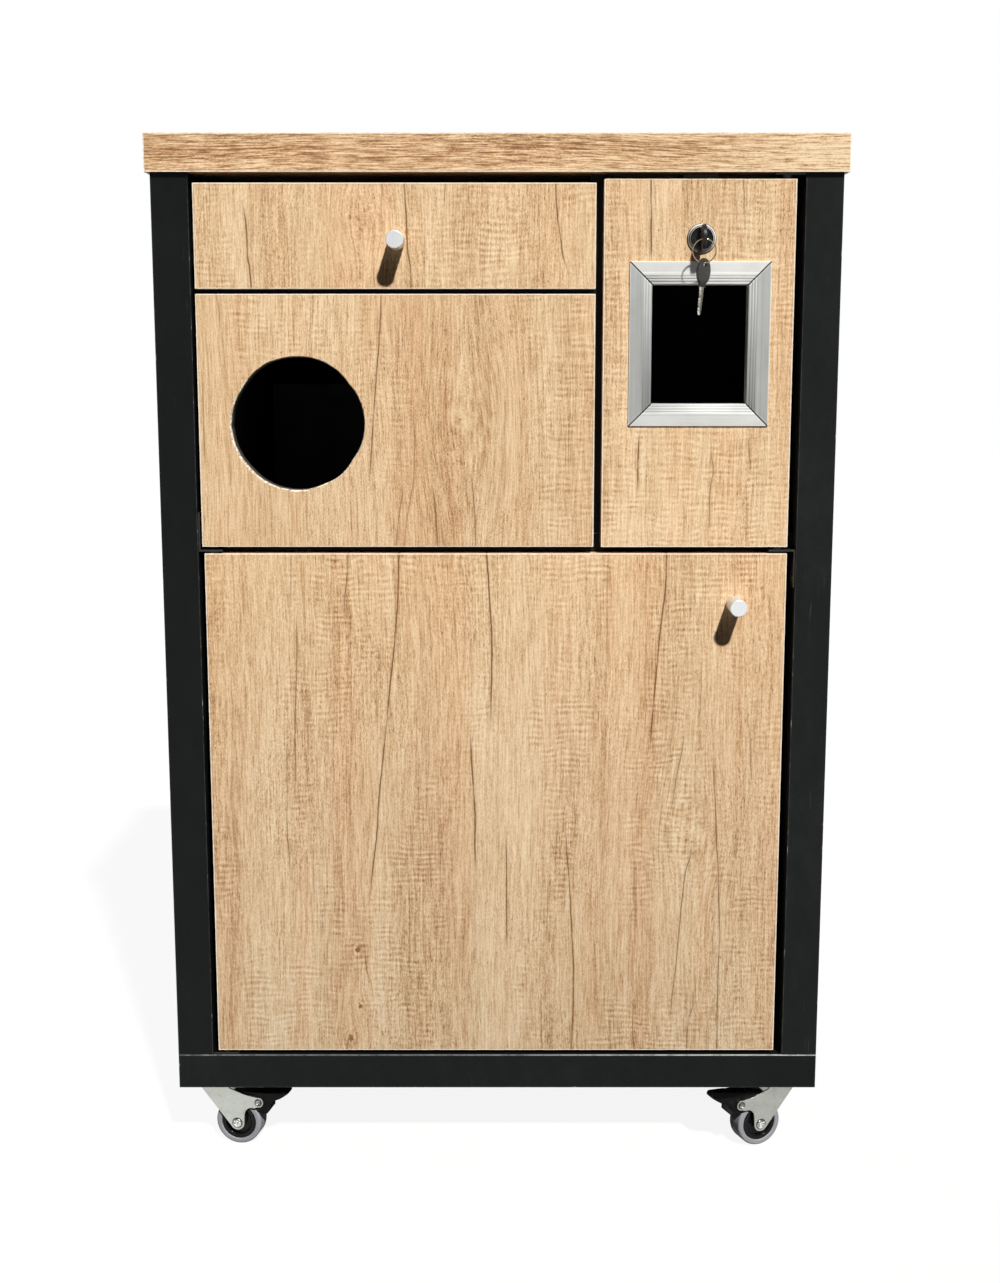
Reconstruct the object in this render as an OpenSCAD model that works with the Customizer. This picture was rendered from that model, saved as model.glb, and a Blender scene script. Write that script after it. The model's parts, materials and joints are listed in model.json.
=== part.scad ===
// Mobile book drop cabinet: thick black carcass, wood-look top and fronts,
// drawer, lockable door with a framed opening, fixed panel with a round drop
// hole over a chute and a collection bin, full-width lower door, four castors.
// Origin on the floor under the middle of the cabinet, +Z up, front is -Y.

/* [Cabinet] */
// Width over the side panels
body_w = 700; // [690:2:760]
// Depth of the carcass, front edge to back
body_d = 450; // [440:5:520]
// Height of the carcass, underside of base to underside of top
body_h = 977; // [972:1:1000]
// Thickness of base, sides and top
board_t = 38; // [34:1:38]
// Thickness of fronts, shelves, divider and back
panel_t = 18; // [18:0.5:19]
// Overhang of the top board at the sides and front
top_overhang = 5; // [0:1:10]

/* [Fronts] */
// Height of the lower door's top edge above the underside of the base
lower_door_top = 591; // [585:1:595]
// Gap between the lower door and the fronts above it
row_gap = 7; // [6:0.5:8]
// Gap between the upper left fronts and the lockable door
centre_gap = 8; // [4:0.5:9]
// Distance of that gap from the middle of the cabinet
centre_x = 104.5; // [100:0.5:106]
// Height of the drawer front
drawer_h = 105; // [100:1:110]
// Gap above the drawer front
drawer_top_gap = 10; // [6:1:12]
// Gap between the drawer front and the fixed panel below it
drawer_gap = 5; // [3:0.5:6]
// Gap above the lockable door
lock_top_gap = 6; // [6:0.5:8]
// Gap at the hinge side of the lower door
hinge_gap = 6; // [5.5:0.5:7]
// Gap at the right of both doors
right_gap = 9; // [8.5:0.5:10]
// Gap at the left of the drawer front and the fixed panel
left_gap = 4; // [4:0.5:6]

/* [Openings] */
// Radius of the round drop hole
hole_r = 68; // [50:1:70]
// Clear width of the framed opening
slot_w = 98; // [80:1:104]
// Clear height of the framed opening
slot_h = 120; // [90:1:122]
// Face width of the aluminium frame
frame_w = 23; // [16:1:23]

/* [Knobs] */
// Radius of the knobs
knob_r = 9; // [7:0.5:11]
// Length of the knobs
knob_l = 35; // [35:0.5:38]

/* [Castors] */
// Radius of the castor wheels
wheel_r = 26; // [24:0.25:26]
// Width of the tyres
tyre_w = 22; // [16:1:22]

/* [Hidden] */

$fn = 64;
black = [0.13, 0.135, 0.135];
oak = [0.86, 0.72, 0.55];
zinc = [0.68, 0.69, 0.66];
drawer_grey = [0.3, 0.3, 0.31];

// In names, x0/x1 are left/right, y0/y1 front/rear and z0/z1 lower/upper.

// Heights
base_z = 75;                         // underside of base, on the castors
inner_z0 = base_z + board_t;         // top of base board
inner_z1 = base_z + body_h;          // underside of top board
lower_z0 = inner_z0 + 5;             // lower door
lower_z1 = base_z + lower_door_top;
upper_z0 = lower_z1 + row_gap;       // bottom edge of the upper fronts
drawer_z1 = inner_z1 - drawer_top_gap;
drawer_z0 = drawer_z1 - drawer_h;
drop_panel_z1 = drawer_z0 - drawer_gap;
lock_door_z1 = inner_z1 - lock_top_gap;
shelf_z0 = lower_z1 + 1.5;           // mid shelf
shelf_z1 = shelf_z0 + panel_t;
drawer_shelf_z1 = drawer_z0 + 6.5;
drawer_shelf_z0 = drawer_shelf_z1 - panel_t;

// Depths: carcass and knobs together are centred on the origin
recess = 1;                          // fronts stand back from the side panels' edges
body_y0 = (knob_l - recess - body_d) / 2;
body_y1 = body_y0 + body_d;
front_y0 = body_y0 + recess;         // outer face of the fronts
front_y1 = front_y0 + panel_t;       // inner face of the fronts
back_y0 = body_y1 - panel_t;         // inner face of the back
swing_y = front_y1 + 5;              // shelf edge where a hinge edge swings

// Widths
inner_x = body_w / 2 - board_t;      // inner faces of the side panels
left_x0 = -inner_x + left_gap;       // drawer front and fixed panel
left_x1 = centre_x - centre_gap / 2;
lock_door_x0 = centre_x + centre_gap / 2;
door_x1 = inner_x - right_gap;       // right edge of both doors
lower_x0 = -inner_x + hinge_gap;
divider_x0 = centre_x - panel_t / 2;
divider_x1 = centre_x + panel_t / 2;

// Door pivots: pin in a bore at mid thickness, half a thickness from the edge
pin_r = 3;
bore_r = 3.05;
pin_depth = 12;
pivot_y = front_y0 + panel_t / 2;
lower_pivot_x = lower_x0 + panel_t / 2;
lock_pivot_x = door_x1 - panel_t / 2;

// Openings in the fronts
hole_x = -205.5;
hole_z = base_z + 725.5;
slot_x = (lock_door_x0 + door_x1) / 2 + 1.25;
slot_z = base_z + 806.2;
frame_leg_t = 1.6;                   // leg of the frame inside the cut-out
leg_play = 0.4;
cut_w = slot_w + 2 * frame_leg_t + leg_play;
cut_h = slot_h + 2 * frame_leg_t + leg_play;

lock_x = slot_x + 0.5;
lock_z = base_z + 912;

// Knobs
drawer_knob_x = -102;
drawer_knob_z = base_z + 909;
lower_knob_x = door_x1 - 54;
lower_knob_z = lower_z1 - 53;
knob_hole_r = 2.2;

// a box between two corners
module box(low, high) { translate(low) cube(high - low); }
// a cylinder along Y
module ycyl(x, z, y0, y1, r) {
  translate([x, y0, z]) rotate([-90, 0, 0]) cylinder(r = r, h = y1 - y0);
}
// a YZ outline extruded along X
module yz(x0, x1) {
  translate([x0, 0, 0]) rotate([90, 0, 90]) linear_extrude(x1 - x0) children();
}
// an XZ outline extruded along Y
module xz(y0, y1) {
  translate([0, y1, 0]) rotate([90, 0, 0]) linear_extrude(y1 - y0) children();
}

// ---------------------------------------------------------------- fasteners
carcass_screw_x = body_w / 2 - board_t / 2;
carcass_screw_y = [body_y0 + 110, body_y0 + body_d / 2, body_y1 - 110];
// extra lengthens the head downwards, for cutting through the base's underside
module carcass_screw(extra = 0) {
  translate([0, 0, base_z - extra]) cylinder(r = 5, h = 4 + extra);
  translate([0, 0, base_z]) cylinder(r = 3.5, h = 66);
}
module each_carcass_screw() {
  for (s = [-1, 1], y = carcass_screw_y) translate([s * carcass_screw_x, y, 0]) children();
}

// countersunk screw, head outermost at z = 0, shank up
module countersunk_screw() {
  cylinder(r1 = 3.4, r2 = 1.75, h = 1.6);
  translate([0, 0, 1.5]) cylinder(r = 1.75, h = 12);
}

bracket_t = 2;
plate_screw_y = [pivot_y + 13, pivot_y + 21];
plate_screw_dx = 8;                  // from the pivot
leaf_screw_y = [pivot_y - 4.5, pivot_y + 5.5];
leaf_screw_dz = 28;                  // from the edge of the fronts
keeper_t = 3;
module each_bracket_screw() {
  // base plate and top plate
  for (y = plate_screw_y) {
    translate([lower_pivot_x + plate_screw_dx, y, inner_z0 + bracket_t])
      rotate([180, 0, 0]) children();
    translate([lock_pivot_x - plate_screw_dx, y, inner_z1 - bracket_t]) children();
  }
  // side leaves
  for (y = leaf_screw_y) {
    translate([-inner_x + bracket_t, y, upper_z0 + leaf_screw_dz])
      rotate([0, -90, 0]) children();
    translate([inner_x - bracket_t, y, lower_z1 - leaf_screw_dz])
      rotate([0, 90, 0]) children();
  }
  // keeper
  for (s = [-1, 1]) translate([lock_x + s * 11, front_y1 + 16, inner_z1 - keeper_t]) children();
}

// Castor mounting: swivel axis, plate and its four screws
swivel_x = body_w / 2 - 39;
swivel_y0 = body_y0 + 35;
swivel_y1 = body_y1 - 35;
plate_s = 56;
plate_t = 2;
plate_hole_d = 21;                   // screws off the plate's centre in x and y
castor_screw_r = 2.2;
// castors 0 to 3: front left, front right, rear left, rear right
castor_yaw = [-12, 202, 8, 165];
module at_swivel(i) {
  translate([i % 2 == 0 ? -swivel_x : swivel_x, i < 2 ? swivel_y0 : swivel_y1, 0]) children();
}
module at_castor(i) { at_swivel(i) rotate([0, 0, castor_yaw[i]]) children(); }
module each_plate_hole() {
  for (sx = [-1, 1], sy = [-1, 1])
    translate([sx * plate_hole_d, sy * plate_hole_d, base_z - plate_t]) children();
}
module each_castor_screw() {
  for (i = [0 : 3]) at_swivel(i) each_plate_hole() children();
}

module carcass_screws() { color("silver") each_carcass_screw() carcass_screw(); }
module bracket_screws() { color("silver") each_bracket_screw() countersunk_screw(); }
module castor_screws() {
  head_h = 2.4;
  color("silver") each_castor_screw() {
    translate([0, 0, -head_h]) cylinder(r = 4.1, h = head_h);
    cylinder(r = castor_screw_r, h = 20);
  }
}

// ---------------------------------------------------------------- carcass
module base_board() {
  color(black) difference() {
    box([-body_w / 2, body_y0, base_z], [body_w / 2, body_y1, inner_z0]);
    each_carcass_screw() carcass_screw(1);
    each_bracket_screw() countersunk_screw();
    each_castor_screw() cylinder(r = castor_screw_r, h = 20.5);
  }
}
module side_panel(side) {
  color(black) difference() {
    box([side > 0 ? inner_x : -body_w / 2, body_y0, inner_z0],
        [side > 0 ? body_w / 2 : -inner_x, body_y1, inner_z1]);
    each_carcass_screw() carcass_screw();
    each_bracket_screw() countersunk_screw();
  }
}
module left_side_panel() { side_panel(-1); }
module right_side_panel() { side_panel(1); }
module top_board() {
  color(oak) difference() {
    box([-body_w / 2 - top_overhang, body_y0 - top_overhang, inner_z1],
        [body_w / 2 + top_overhang, body_y1, inner_z1 + board_t]);
    each_bracket_screw() countersunk_screw();
  }
}
module back_panel() {
  color(black) box([-inner_x, back_y0, inner_z0], [inner_x, body_y1, inner_z1]);
}

// Chute extents
chute_x0 = hole_x - 77.5;
chute_x1 = hole_x + 77.5;
chute_y0 = body_y0 + 142;            // front wall of its outlet
chute_y1 = body_y0 + 369;

// The shelf stands back where the lockable door's hinge edge swings
module mid_shelf() {
  play = 2;                          // round the chute
  color(black) difference() {
    translate([0, 0, shelf_z0]) linear_extrude(panel_t)
      polygon([[-inner_x, front_y1], [divider_x1, front_y1], [divider_x1, swing_y],
        [inner_x, swing_y], [inner_x, back_y0], [-inner_x, back_y0]]);
    box([chute_x0 - play, chute_y0 - play, shelf_z0 - 1],
        [chute_x1 + play, chute_y1 + play, shelf_z1 + 1]);
  }
}
module divider_panel() {
  color(black) box([divider_x0, front_y1, shelf_z1], [divider_x1, back_y0, inner_z1]);
}
module drawer_shelf() {
  color(black) box([-inner_x, front_y1, drawer_shelf_z0], [divider_x0, back_y0, drawer_shelf_z1]);
}
module round_drop_panel() {
  color(oak) difference() {
    box([left_x0, front_y0, upper_z0], [left_x1, front_y1, drop_panel_z1]);
    ycyl(hole_x, hole_z, front_y0 - 1, front_y1 + 1, hole_r);
  }
}

// Bent sheet chute from behind the round hole down through the shelf
module drop_chute() {
  top = drawer_shelf_z0 - 12;
  low = hole_z - hole_r - 12;        // front edge of the sloping floor
  t = 3;
  color([0.1, 0.1, 0.1]) difference() {
    yz(chute_x0, chute_x1) polygon([[front_y1 + 0.5, low], [front_y1 + 0.5, top],
      [chute_y1 - 120, top], [chute_y1, top - 75], [chute_y1, shelf_z0 - 16],
      [chute_y0, shelf_z0 - 16], [chute_y0, shelf_z1 + 3]]);
    // hollow, open at the front and below
    yz(chute_x0 + t, chute_x1 - t) polygon([[front_y1 - 20, low + 8], [front_y1 - 20, top - t],
      [chute_y1 - 121, top - t], [chute_y1 - t, top - 77], [chute_y1 - t, shelf_z0 - 30],
      [chute_y0 + t, shelf_z0 - 30], [chute_y0 + t, shelf_z1 + 5.5], [front_y1, low + 3.2]]);
  }
}

// Open tub with a rim and a hand hole at each end
bin_x = 288;                         // half its width
bin_y0 = body_y0 + 47;
bin_y1 = body_y0 + 409;
bin_h = 495;
module collection_bin() {
  wall = 4;
  corner_r = 14;
  rim = 4;
  rim_h = 12;
  grip_w = 76;                       // between the centres of the rounded ends
  grip_h = 26;
  color([0.2, 0.21, 0.22]) difference() {
    union() {
      bin_block(0, corner_r, inner_z0, bin_h);
      bin_block(rim, corner_r, inner_z0 + bin_h - rim_h, rim_h);
    }
    bin_block(-wall, corner_r, inner_z0 + wall, bin_h);
    yz(-bin_x - 10, bin_x + 10) translate([(bin_y0 + bin_y1) / 2, inner_z0 + bin_h - 48]) {
      square([grip_w, grip_h], center = true);
      for (s = [-1, 1]) translate([s * grip_w / 2, 0]) circle(r = grip_h / 2);
    }
  }
}
// block with rounded upright edges, grown outwards from the bin's outline
module bin_block(grow, corner_r, z, h) {
  x = bin_x + grow;
  y0 = bin_y0 - grow;
  y1 = bin_y1 + grow;
  r = corner_r + grow;
  box([-x + r, y0, z], [x - r, y1, z + h]);
  box([-x, y0 + r, z], [x, y1 - r, z + h]);
  for (cx = [-x + r, x - r], cy = [y0 + r, y1 - r]) translate([cx, cy, z]) cylinder(r = r, h = h);
}

// ---------------------------------------------------------------- drawer
// Three nested channels a side: cabinet, middle and drawer member
runner_l = 350;
runner_z = base_z + 910;             // mid height
runner_t = 12.7;
runner_y = front_y1 + 2;
runner_steel = 1.2;
// The outline's x runs from the cabinet wall towards the drawer
module channel(half_h, web_x, flange_x, flange_w) {
  translate([web_x, -half_h]) square([runner_steel, 2 * half_h]);
  for (z = [-half_h, half_h - runner_steel])
    translate([flange_x, z]) square([flange_w, runner_steel]);
}
module outer_outline() {
  half_h = 22.5;
  flange_w = 9.5;
  lip_h = 3;
  channel(half_h, 0, 0, flange_w);
  for (z = [-half_h, half_h - lip_h])
    translate([flange_w - runner_steel, z]) square([runner_steel, lip_h]);
}
module middle_outline() { channel(18, 3.2, 3.2, 7.2); }
module inner_outline() { channel(15, runner_t - runner_steel, runner_t - 6.9, 6.9); }
module on_left() {
  translate([-inner_x, 0, runner_z]) xz(runner_y, runner_y + runner_l) children();
}
module on_right() {
  translate([divider_x0, 0, runner_z]) mirror([1, 0, 0])
    xz(runner_y, runner_y + runner_l) children();
}
module runner_outer_members() {
  color("silver") {
    on_left() outer_outline();
    on_right() outer_outline();
  }
}
module runner_inner_members() {
  color("silver") {
    on_left() inner_outline();
    on_right() inner_outline();
  }
}
module left_runner_middle() { color("silver") on_left() middle_outline(); }
module right_runner_middle() { color("silver") on_right() middle_outline(); }

// Drawer box between the runners, its bottom held in a groove
box_z0 = drawer_shelf_z1 + 6;
box_h = 72;
box_t = 12;
box_d = 350;
groove_depth = 5;
groove_z0 = box_z0 + 8;
groove_z1 = box_z0 + 12;
groove_play = 0.1;
// block inset all round from the box's outer faces
module drawer_block(inset, z0, z1) {
  box([-inner_x + runner_t + inset, front_y1 + inset, z0],
      [divider_x0 - runner_t - inset, front_y1 + box_d - inset, z1]);
}
module drawer_front() {
  color(oak) difference() {
    box([left_x0, front_y0, drawer_z0], [left_x1, front_y1, drawer_z1]);
    ycyl(drawer_knob_x, drawer_knob_z, front_y0 - 1, front_y1 + 1, knob_hole_r);
  }
}
module drawer_box() {
  color(drawer_grey) difference() {
    drawer_block(0, box_z0, box_z0 + box_h);
    drawer_block(box_t, box_z0 - 1, box_z0 + box_h + 1);
    drawer_block(box_t - groove_depth, groove_z0, groove_z1);
    ycyl(drawer_knob_x, drawer_knob_z, front_y1 - 1, front_y1 + box_t + 1, knob_hole_r);
  }
}
module drawer_bottom() {
  color(drawer_grey)
    drawer_block(box_t - groove_depth + groove_play, groove_z0 + groove_play,
      groove_z1 - groove_play);
}

// Turned knob with a raised band at its outer end and a tapped hole
module knob() {
  rotate([90, 0, 0]) difference() {
    // radius, distance from the front
    rotate_extrude() polygon([[0, 0], [knob_r - 1, 0], [knob_r - 0.4, 0.6],
      [knob_r - 0.4, knob_l - 4], [knob_r, knob_l - 3], [knob_r, knob_l - 0.8],
      [knob_r - 0.8, knob_l], [0, knob_l]]);
    translate([0, 0, -1]) cylinder(r = 2, h = 15);
  }
}
// Machine screw along Y, under the head at y = head_y, reaching into the knob
module knob_screw(head_y) {
  ycyl(0, 0, front_y0 - 13, head_y + 0.1, 1.98);
  translate([0, head_y, 0]) rotate([-90, 0, 0]) rotate_extrude()
    polygon([[0, 0], [4.2, 0], [4.2, 1.2], [3.2, 2.4], [0, 2.8]]);
}
module drawer_knob() {
  color("silver") translate([drawer_knob_x, front_y0, drawer_knob_z]) knob();
}
module drawer_knob_screw() {
  color("silver") translate([drawer_knob_x, 0, drawer_knob_z]) knob_screw(front_y1 + box_t);
}

// ---------------------------------------------------------------- doors
module door_board(x0, z0, z1, pin_x) {
  difference() {
    box([x0, front_y0, z0], [door_x1, front_y1, z1]);
    for (z = [z0 - 1, z1 - pin_depth - 1])
      translate([pin_x, pivot_y, z]) cylinder(r = bore_r, h = pin_depth + 2);
  }
}
module lower_door() {
  color(oak) difference() {
    door_board(lower_x0, lower_z0, lower_z1, lower_pivot_x);
    ycyl(lower_knob_x, lower_knob_z, front_y0 - 1, front_y1 + 1, knob_hole_r);
  }
}
module lower_door_knob() {
  color("silver") translate([lower_knob_x, front_y0, lower_knob_z]) knob();
}
module lower_knob_screw() {
  color("silver") translate([lower_knob_x, 0, lower_knob_z]) knob_screw(front_y1);
}
module lockable_door() {
  color(oak) difference() {
    door_board(lock_door_x0, upper_z0, lock_door_z1, lock_pivot_x);
    box([slot_x - cut_w / 2, front_y0 - 1, slot_z - cut_h / 2],
        [slot_x + cut_w / 2, front_y1 + 1, slot_z + cut_h / 2]);
    ycyl(lock_x, lock_z, front_y0 - 1, front_y1 + 1, barrel_r + 0.05);
  }
}

// Riveted pin from a bracket at height z; its shoulder fills the gap to the door
module pivot(x, z, up, gap) {
  translate([x, pivot_y, z]) mirror([0, 0, up ? 0 : 1]) {
    cylinder(r = 6, h = gap - 0.1);
    cylinder(r = pin_r, h = gap + pin_depth - 1);
  }
}
module drilled() {
  difference() {
    union() children();
    each_bracket_screw() countersunk_screw();
  }
}
module door_pivot_brackets() {
  y0 = pivot_y - 8;
  arm_y1 = pivot_y + 9;
  plate_y1 = pivot_y + 26;
  half_t = bracket_t / 2;
  leaf_l = 36;                       // beyond the edge of the fronts
  arm_z = lower_z1 + 3;              // mid thickness of the arms between the rows
  color(zinc) {
    // under the lower door
    drilled() {
      box([-inner_x + 0.5, y0, inner_z0], [lower_pivot_x + 13, plate_y1, inner_z0 + bracket_t]);
      pivot(lower_pivot_x, inner_z0 + half_t, true, lower_z0 - inner_z0 - half_t);
    }
    // over the lower door
    drilled() {
      box([-inner_x, y0, arm_z - half_t], [lower_pivot_x + 10, arm_y1, arm_z + half_t]);
      box([-inner_x, y0, arm_z - half_t], [-inner_x + bracket_t, arm_y1, upper_z0 + leaf_l]);
      pivot(lower_pivot_x, arm_z, false, arm_z - lower_z1);
    }
    // under the lockable door
    drilled() {
      box([lock_pivot_x - 10, y0, arm_z - half_t], [inner_x, arm_y1, arm_z + half_t]);
      box([inner_x - bracket_t, y0, lower_z1 - leaf_l], [inner_x, arm_y1, arm_z + half_t]);
      pivot(lock_pivot_x, arm_z, true, upper_z0 - arm_z);
    }
    // over the lockable door
    drilled() {
      box([lock_pivot_x - 13, y0, inner_z1 - bracket_t], [inner_x - 0.5, plate_y1, inner_z1]);
      pivot(lock_pivot_x, inner_z1 - half_t, false, inner_z1 - half_t - lock_door_z1);
    }
  }
}

// Magnet block under the mid shelf, in line with the lower door's knob
module magnet_catch() {
  body_y = front_y1 + 4;
  color([0.15, 0.15, 0.15]) {
    box([lower_knob_x - 23, body_y, shelf_z0 - 15], [lower_knob_x + 23, body_y + 16, shelf_z0]);
    box([lower_knob_x - 17, front_y1 + 1.8, shelf_z0 - 13],
        [lower_knob_x + 17, body_y, shelf_z0 - 3]);
  }
}
module strike_plate() {
  color("silver") box([lower_knob_x - 19, front_y1, shelf_z0 - 15],
    [lower_knob_x + 19, front_y1 + 1.5, lower_z1 - 1]);
}

// Frame profile: ribbed face on the door, leg inside the cut-out.
// Columns: distance outwards from the clear opening, height off the door.
frame_outline = [[0, -14], [frame_leg_t, -14], [frame_leg_t, 0], [frame_w, 0], [frame_w, 1.5],
  [frame_w - 0.5, 2], [frame_w * 0.52, 2.5], [9.2, 2.5], [8.8, 2.05], [8.2, 2.05], [7.8, 2.55],
  [6.4, 2.55], [6, 2.1], [5.4, 2.1], [5, 2.6], [3.6, 2.6], [3.2, 2.15], [2.6, 2.15], [2.2, 2.6],
  [0.6, 2.6], [0, 2.1]];
mitre_gap = 0.2;
// bar above an opening centred on the origin, mitred at both ends
module frame_bar(half_clear, half_len) {
  outer = half_len + frame_w;
  intersection() {
    translate([-outer, front_y0, half_clear]) rotate([90, 0, 90]) linear_extrude(2 * outer)
      polygon([for (p = frame_outline) [-p[1], p[0]]]);
    xz(front_y0 - 10, front_y0 + 20) polygon([
      [-half_len + mitre_gap, half_clear], [half_len - mitre_gap, half_clear],
      [outer - mitre_gap, half_clear + frame_w], [-outer + mitre_gap, half_clear + frame_w]]);
  }
}
// two facing bars, the first turned by angle from the top
module frame_rails(angle, clear, len) {
  translate([slot_x, 0, slot_z]) for (a = [angle, angle + 180])
    rotate([0, a, 0]) frame_bar(clear / 2, len / 2);
}
module frame_cross_rails() { color([0.82, 0.82, 0.81]) frame_rails(0, slot_h, slot_w); }
module frame_side_rails() { color([0.7, 0.7, 0.69]) frame_rails(90, slot_w, slot_h); }

// ---------------------------------------------------------------- cam lock
barrel_r = 9.5;
plug_r = 7;
plug_tail_r = 4;
cam_y0 = front_y0 + 24.7;
cam_y1 = cam_y0 + 2;
// Lock parts are turned about an axis whose z points out of the door
module at_lock() { translate([lock_x, front_y0, lock_z]) rotate([90, 0, 0]) children(); }
module lock_housing() {
  color("gainsboro") at_lock() difference() {
    union() {
      rotate_extrude() polygon([[0, 0], [15, 0], [15, 1], [14.4, 1.7], [12.9, 2],
        [12.6, 3.1], [12.2, 3.4], [0, 3.4]]);
      translate([0, 0, -24]) cylinder(r = barrel_r, h = 25);
    }
    translate([0, 0, 1.2]) cylinder(r = 11.4, h = 3);
    translate([0, 0, -25]) cylinder(r = plug_r + 0.05, h = 30);
  }
}
module lock_nut() {
  color("silver") translate([lock_x, front_y1, lock_z]) rotate([-90, 0, 0]) difference() {
    cylinder(r = 12.7, h = 4, $fn = 6);
    translate([0, 0, -1]) cylinder(r = barrel_r + 0.02, h = 6);
  }
}
key_t = 2.2;
key_w = 8;
module lock_plug() {
  play = 0.2;                        // round the key
  color([0.35, 0.35, 0.36]) at_lock() difference() {
    union() {
      rotate_extrude() polygon([[0, 1.4], [11.2, 1.4], [11.2, 2.2], [10.6, 2.8], [0, 2.8]]);
      translate([0, 0, -24.6]) cylinder(r = plug_r, h = 26.5);
      translate([0, 0, -27]) cylinder(r = plug_tail_r, h = 3);
    }
    translate([-key_t / 2 - play, -key_w / 2 - play, -21])
      cube([key_t + 2 * play, key_w + 2 * play, 30]);
    translate([0, 0, -30]) cylinder(r = 2, h = 8);
  }
}
// The cam points sideways when open and turns up behind the keeper
module lock_cam() {
  cam_l = 46;
  tip_r = 6;
  color("silver") xz(cam_y0, cam_y1) translate([lock_x, lock_z]) difference() {
    union() {
      circle(r = 9);
      translate([-cam_l, -tip_r]) square([cam_l, 2 * tip_r]);
      translate([-cam_l, 0]) circle(r = tip_r);
    }
    circle(r = plug_tail_r + 0.02);
  }
}
module cam_screw() {
  color("silver") {
    ycyl(lock_x, lock_z, cam_y0 - 2.2, cam_y1 + 0.6, 1.98);
    ycyl(lock_x, lock_z, cam_y1 + 0.4, cam_y1 + 2.9, 5.5);
  }
}
// Angle under the top board
module lock_keeper() {
  half_w = 18;
  y0 = front_y1 + 1.5;
  color(zinc) drilled() {
    box([lock_x - half_w, y0, inner_z1 - 30], [lock_x + half_w, y0 + keeper_t, inner_z1]);
    box([lock_x - half_w, y0, inner_z1 - keeper_t], [lock_x + half_w, y0 + 22.5, inner_z1]);
  }
}

// Key in its own XY plane: bow centred at the origin, blade along +Y
bow_rx = 12.8;
bow_ry = 13;
ring_hole_y = -7;
blade_y = 15;                        // start of the blade
module key_bow_outline() {
  difference() {
    union() {
      polygon([for (a = [0 : 7.5 : 359]) [bow_rx * cos(a), bow_ry * sin(a)]]);
      translate([-5.5, 9]) square([11, 6.3]);
    }
    translate([0, ring_hole_y]) circle(r = 3);
  }
}
module key_blade_outline(blade_l) {
  // the bit's cuts run along one edge, each followed by a short land
  last_cut = 6;
  pitch = (blade_l - 6) / (last_cut + 1);
  edge_x = key_w / 2;
  tip_y = blade_y + blade_l;
  polygon(concat(
    [[-edge_x, blade_y], [-edge_x, tip_y - 2.5], [-edge_x + 2.5, tip_y], [0.6, tip_y]],
    [for (i = [last_cut : -1 : 0], k = [1, 0])
      [edge_x - (k == 1 ? 0.2 : 1.2 + 0.7 * (i % 3)), blade_y + 4 + pitch * (i + 0.45 * k)]],
    [[edge_x, blade_y]]));
}
module key_shape(blade_l, bow_t) {
  color([0.16, 0.16, 0.17]) translate([0, 0, -bow_t / 2]) linear_extrude(bow_t) key_bow_outline();
  color("silver") translate([0, 0, -key_t / 2]) linear_extrude(key_t) key_blade_outline(blade_l);
}
bow_y = front_y0 - 18.3;             // centre of the bow of the key in the lock
ring_y = bow_y + ring_hole_y;        // plane of the split ring
ring_r = 11.7;
ring_z = lock_z - 2.1 - ring_r;
module door_key() {
  // bow upright, blade pushed into the plug
  translate([lock_x, bow_y, lock_z]) rotate([0, 90, 0]) key_shape(24, 4);
}
module key_ring() {
  color("silver") translate([lock_x, ring_y, ring_z]) rotate([90, 0, 0])
    rotate_extrude() translate([ring_r, 0]) circle(r = 0.7, $fn = 24);
}
module spare_key() {
  // hangs blade down from the ring's lowest point, turned partly edge-on
  translate([lock_x, ring_y, ring_z - ring_r - 1.5]) rotate([0, 5, 0]) rotate([0, 0, 55])
    rotate([90, 0, 0]) rotate([0, 0, 180]) translate([0, -ring_hole_y, 0]) key_shape(28, 2.6);
}

// ---------------------------------------------------------------- castors
// Local frame of a castor: swivel axis at x = 0, wheel trails towards +x
trail = 24.5;                        // axle behind the swivel axis
axle_z = wheel_r;
fork_gap = 25;                       // between the cheeks
cheek_t = 2;
cheek_y0 = fork_gap / 2;             // inner face of a cheek
cheek_y1 = cheek_y0 + cheek_t;       // outer face of a cheek
brake_x = 49.5;
brake_z = base_z - 23;
hub_r = 19.8;

module castor_plates() {
  color(zinc) for (i = [0 : 3]) at_swivel(i) difference() {
    union() {
      box([-plate_s / 2, -plate_s / 2, base_z - plate_t], [plate_s / 2, plate_s / 2, base_z]);
      translate([0, 0, base_z - 6.9]) cylinder(r = 5, h = 6);
      translate([0, 0, base_z - 9]) cylinder(r1 = 6.5, r2 = 8, h = 2.2);
    }
    each_plate_hole() translate([0, 0, -1]) cylinder(r = 2.25, h = plate_t + 2);
  }
}

// Pressed cheek outlines, x and z, clockwise from the crown's front
braked_cheek = [[-19, base_z - 4], [13, base_z - 4], [15.5, base_z - 9], [35, base_z - 15.5],
  [brake_x - 1.2, brake_z + 5.45], [brake_x - 1, brake_z - 5.5], [brake_x - 5.5, brake_z - 7.3],
  [trail + 8.9, brake_z - 7.3], [trail + 8.1, axle_z], [trail - 6.1, axle_z - 5.2],
  [-19, base_z - 8]];
plain_cheek = [[-19, base_z - 4], [13, base_z - 4], [17, base_z - 17], [32, base_z - 27],
  [trail + 8.1, axle_z], [trail - 6.1, axle_z - 5.2], [-19, base_z - 8]];
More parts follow.
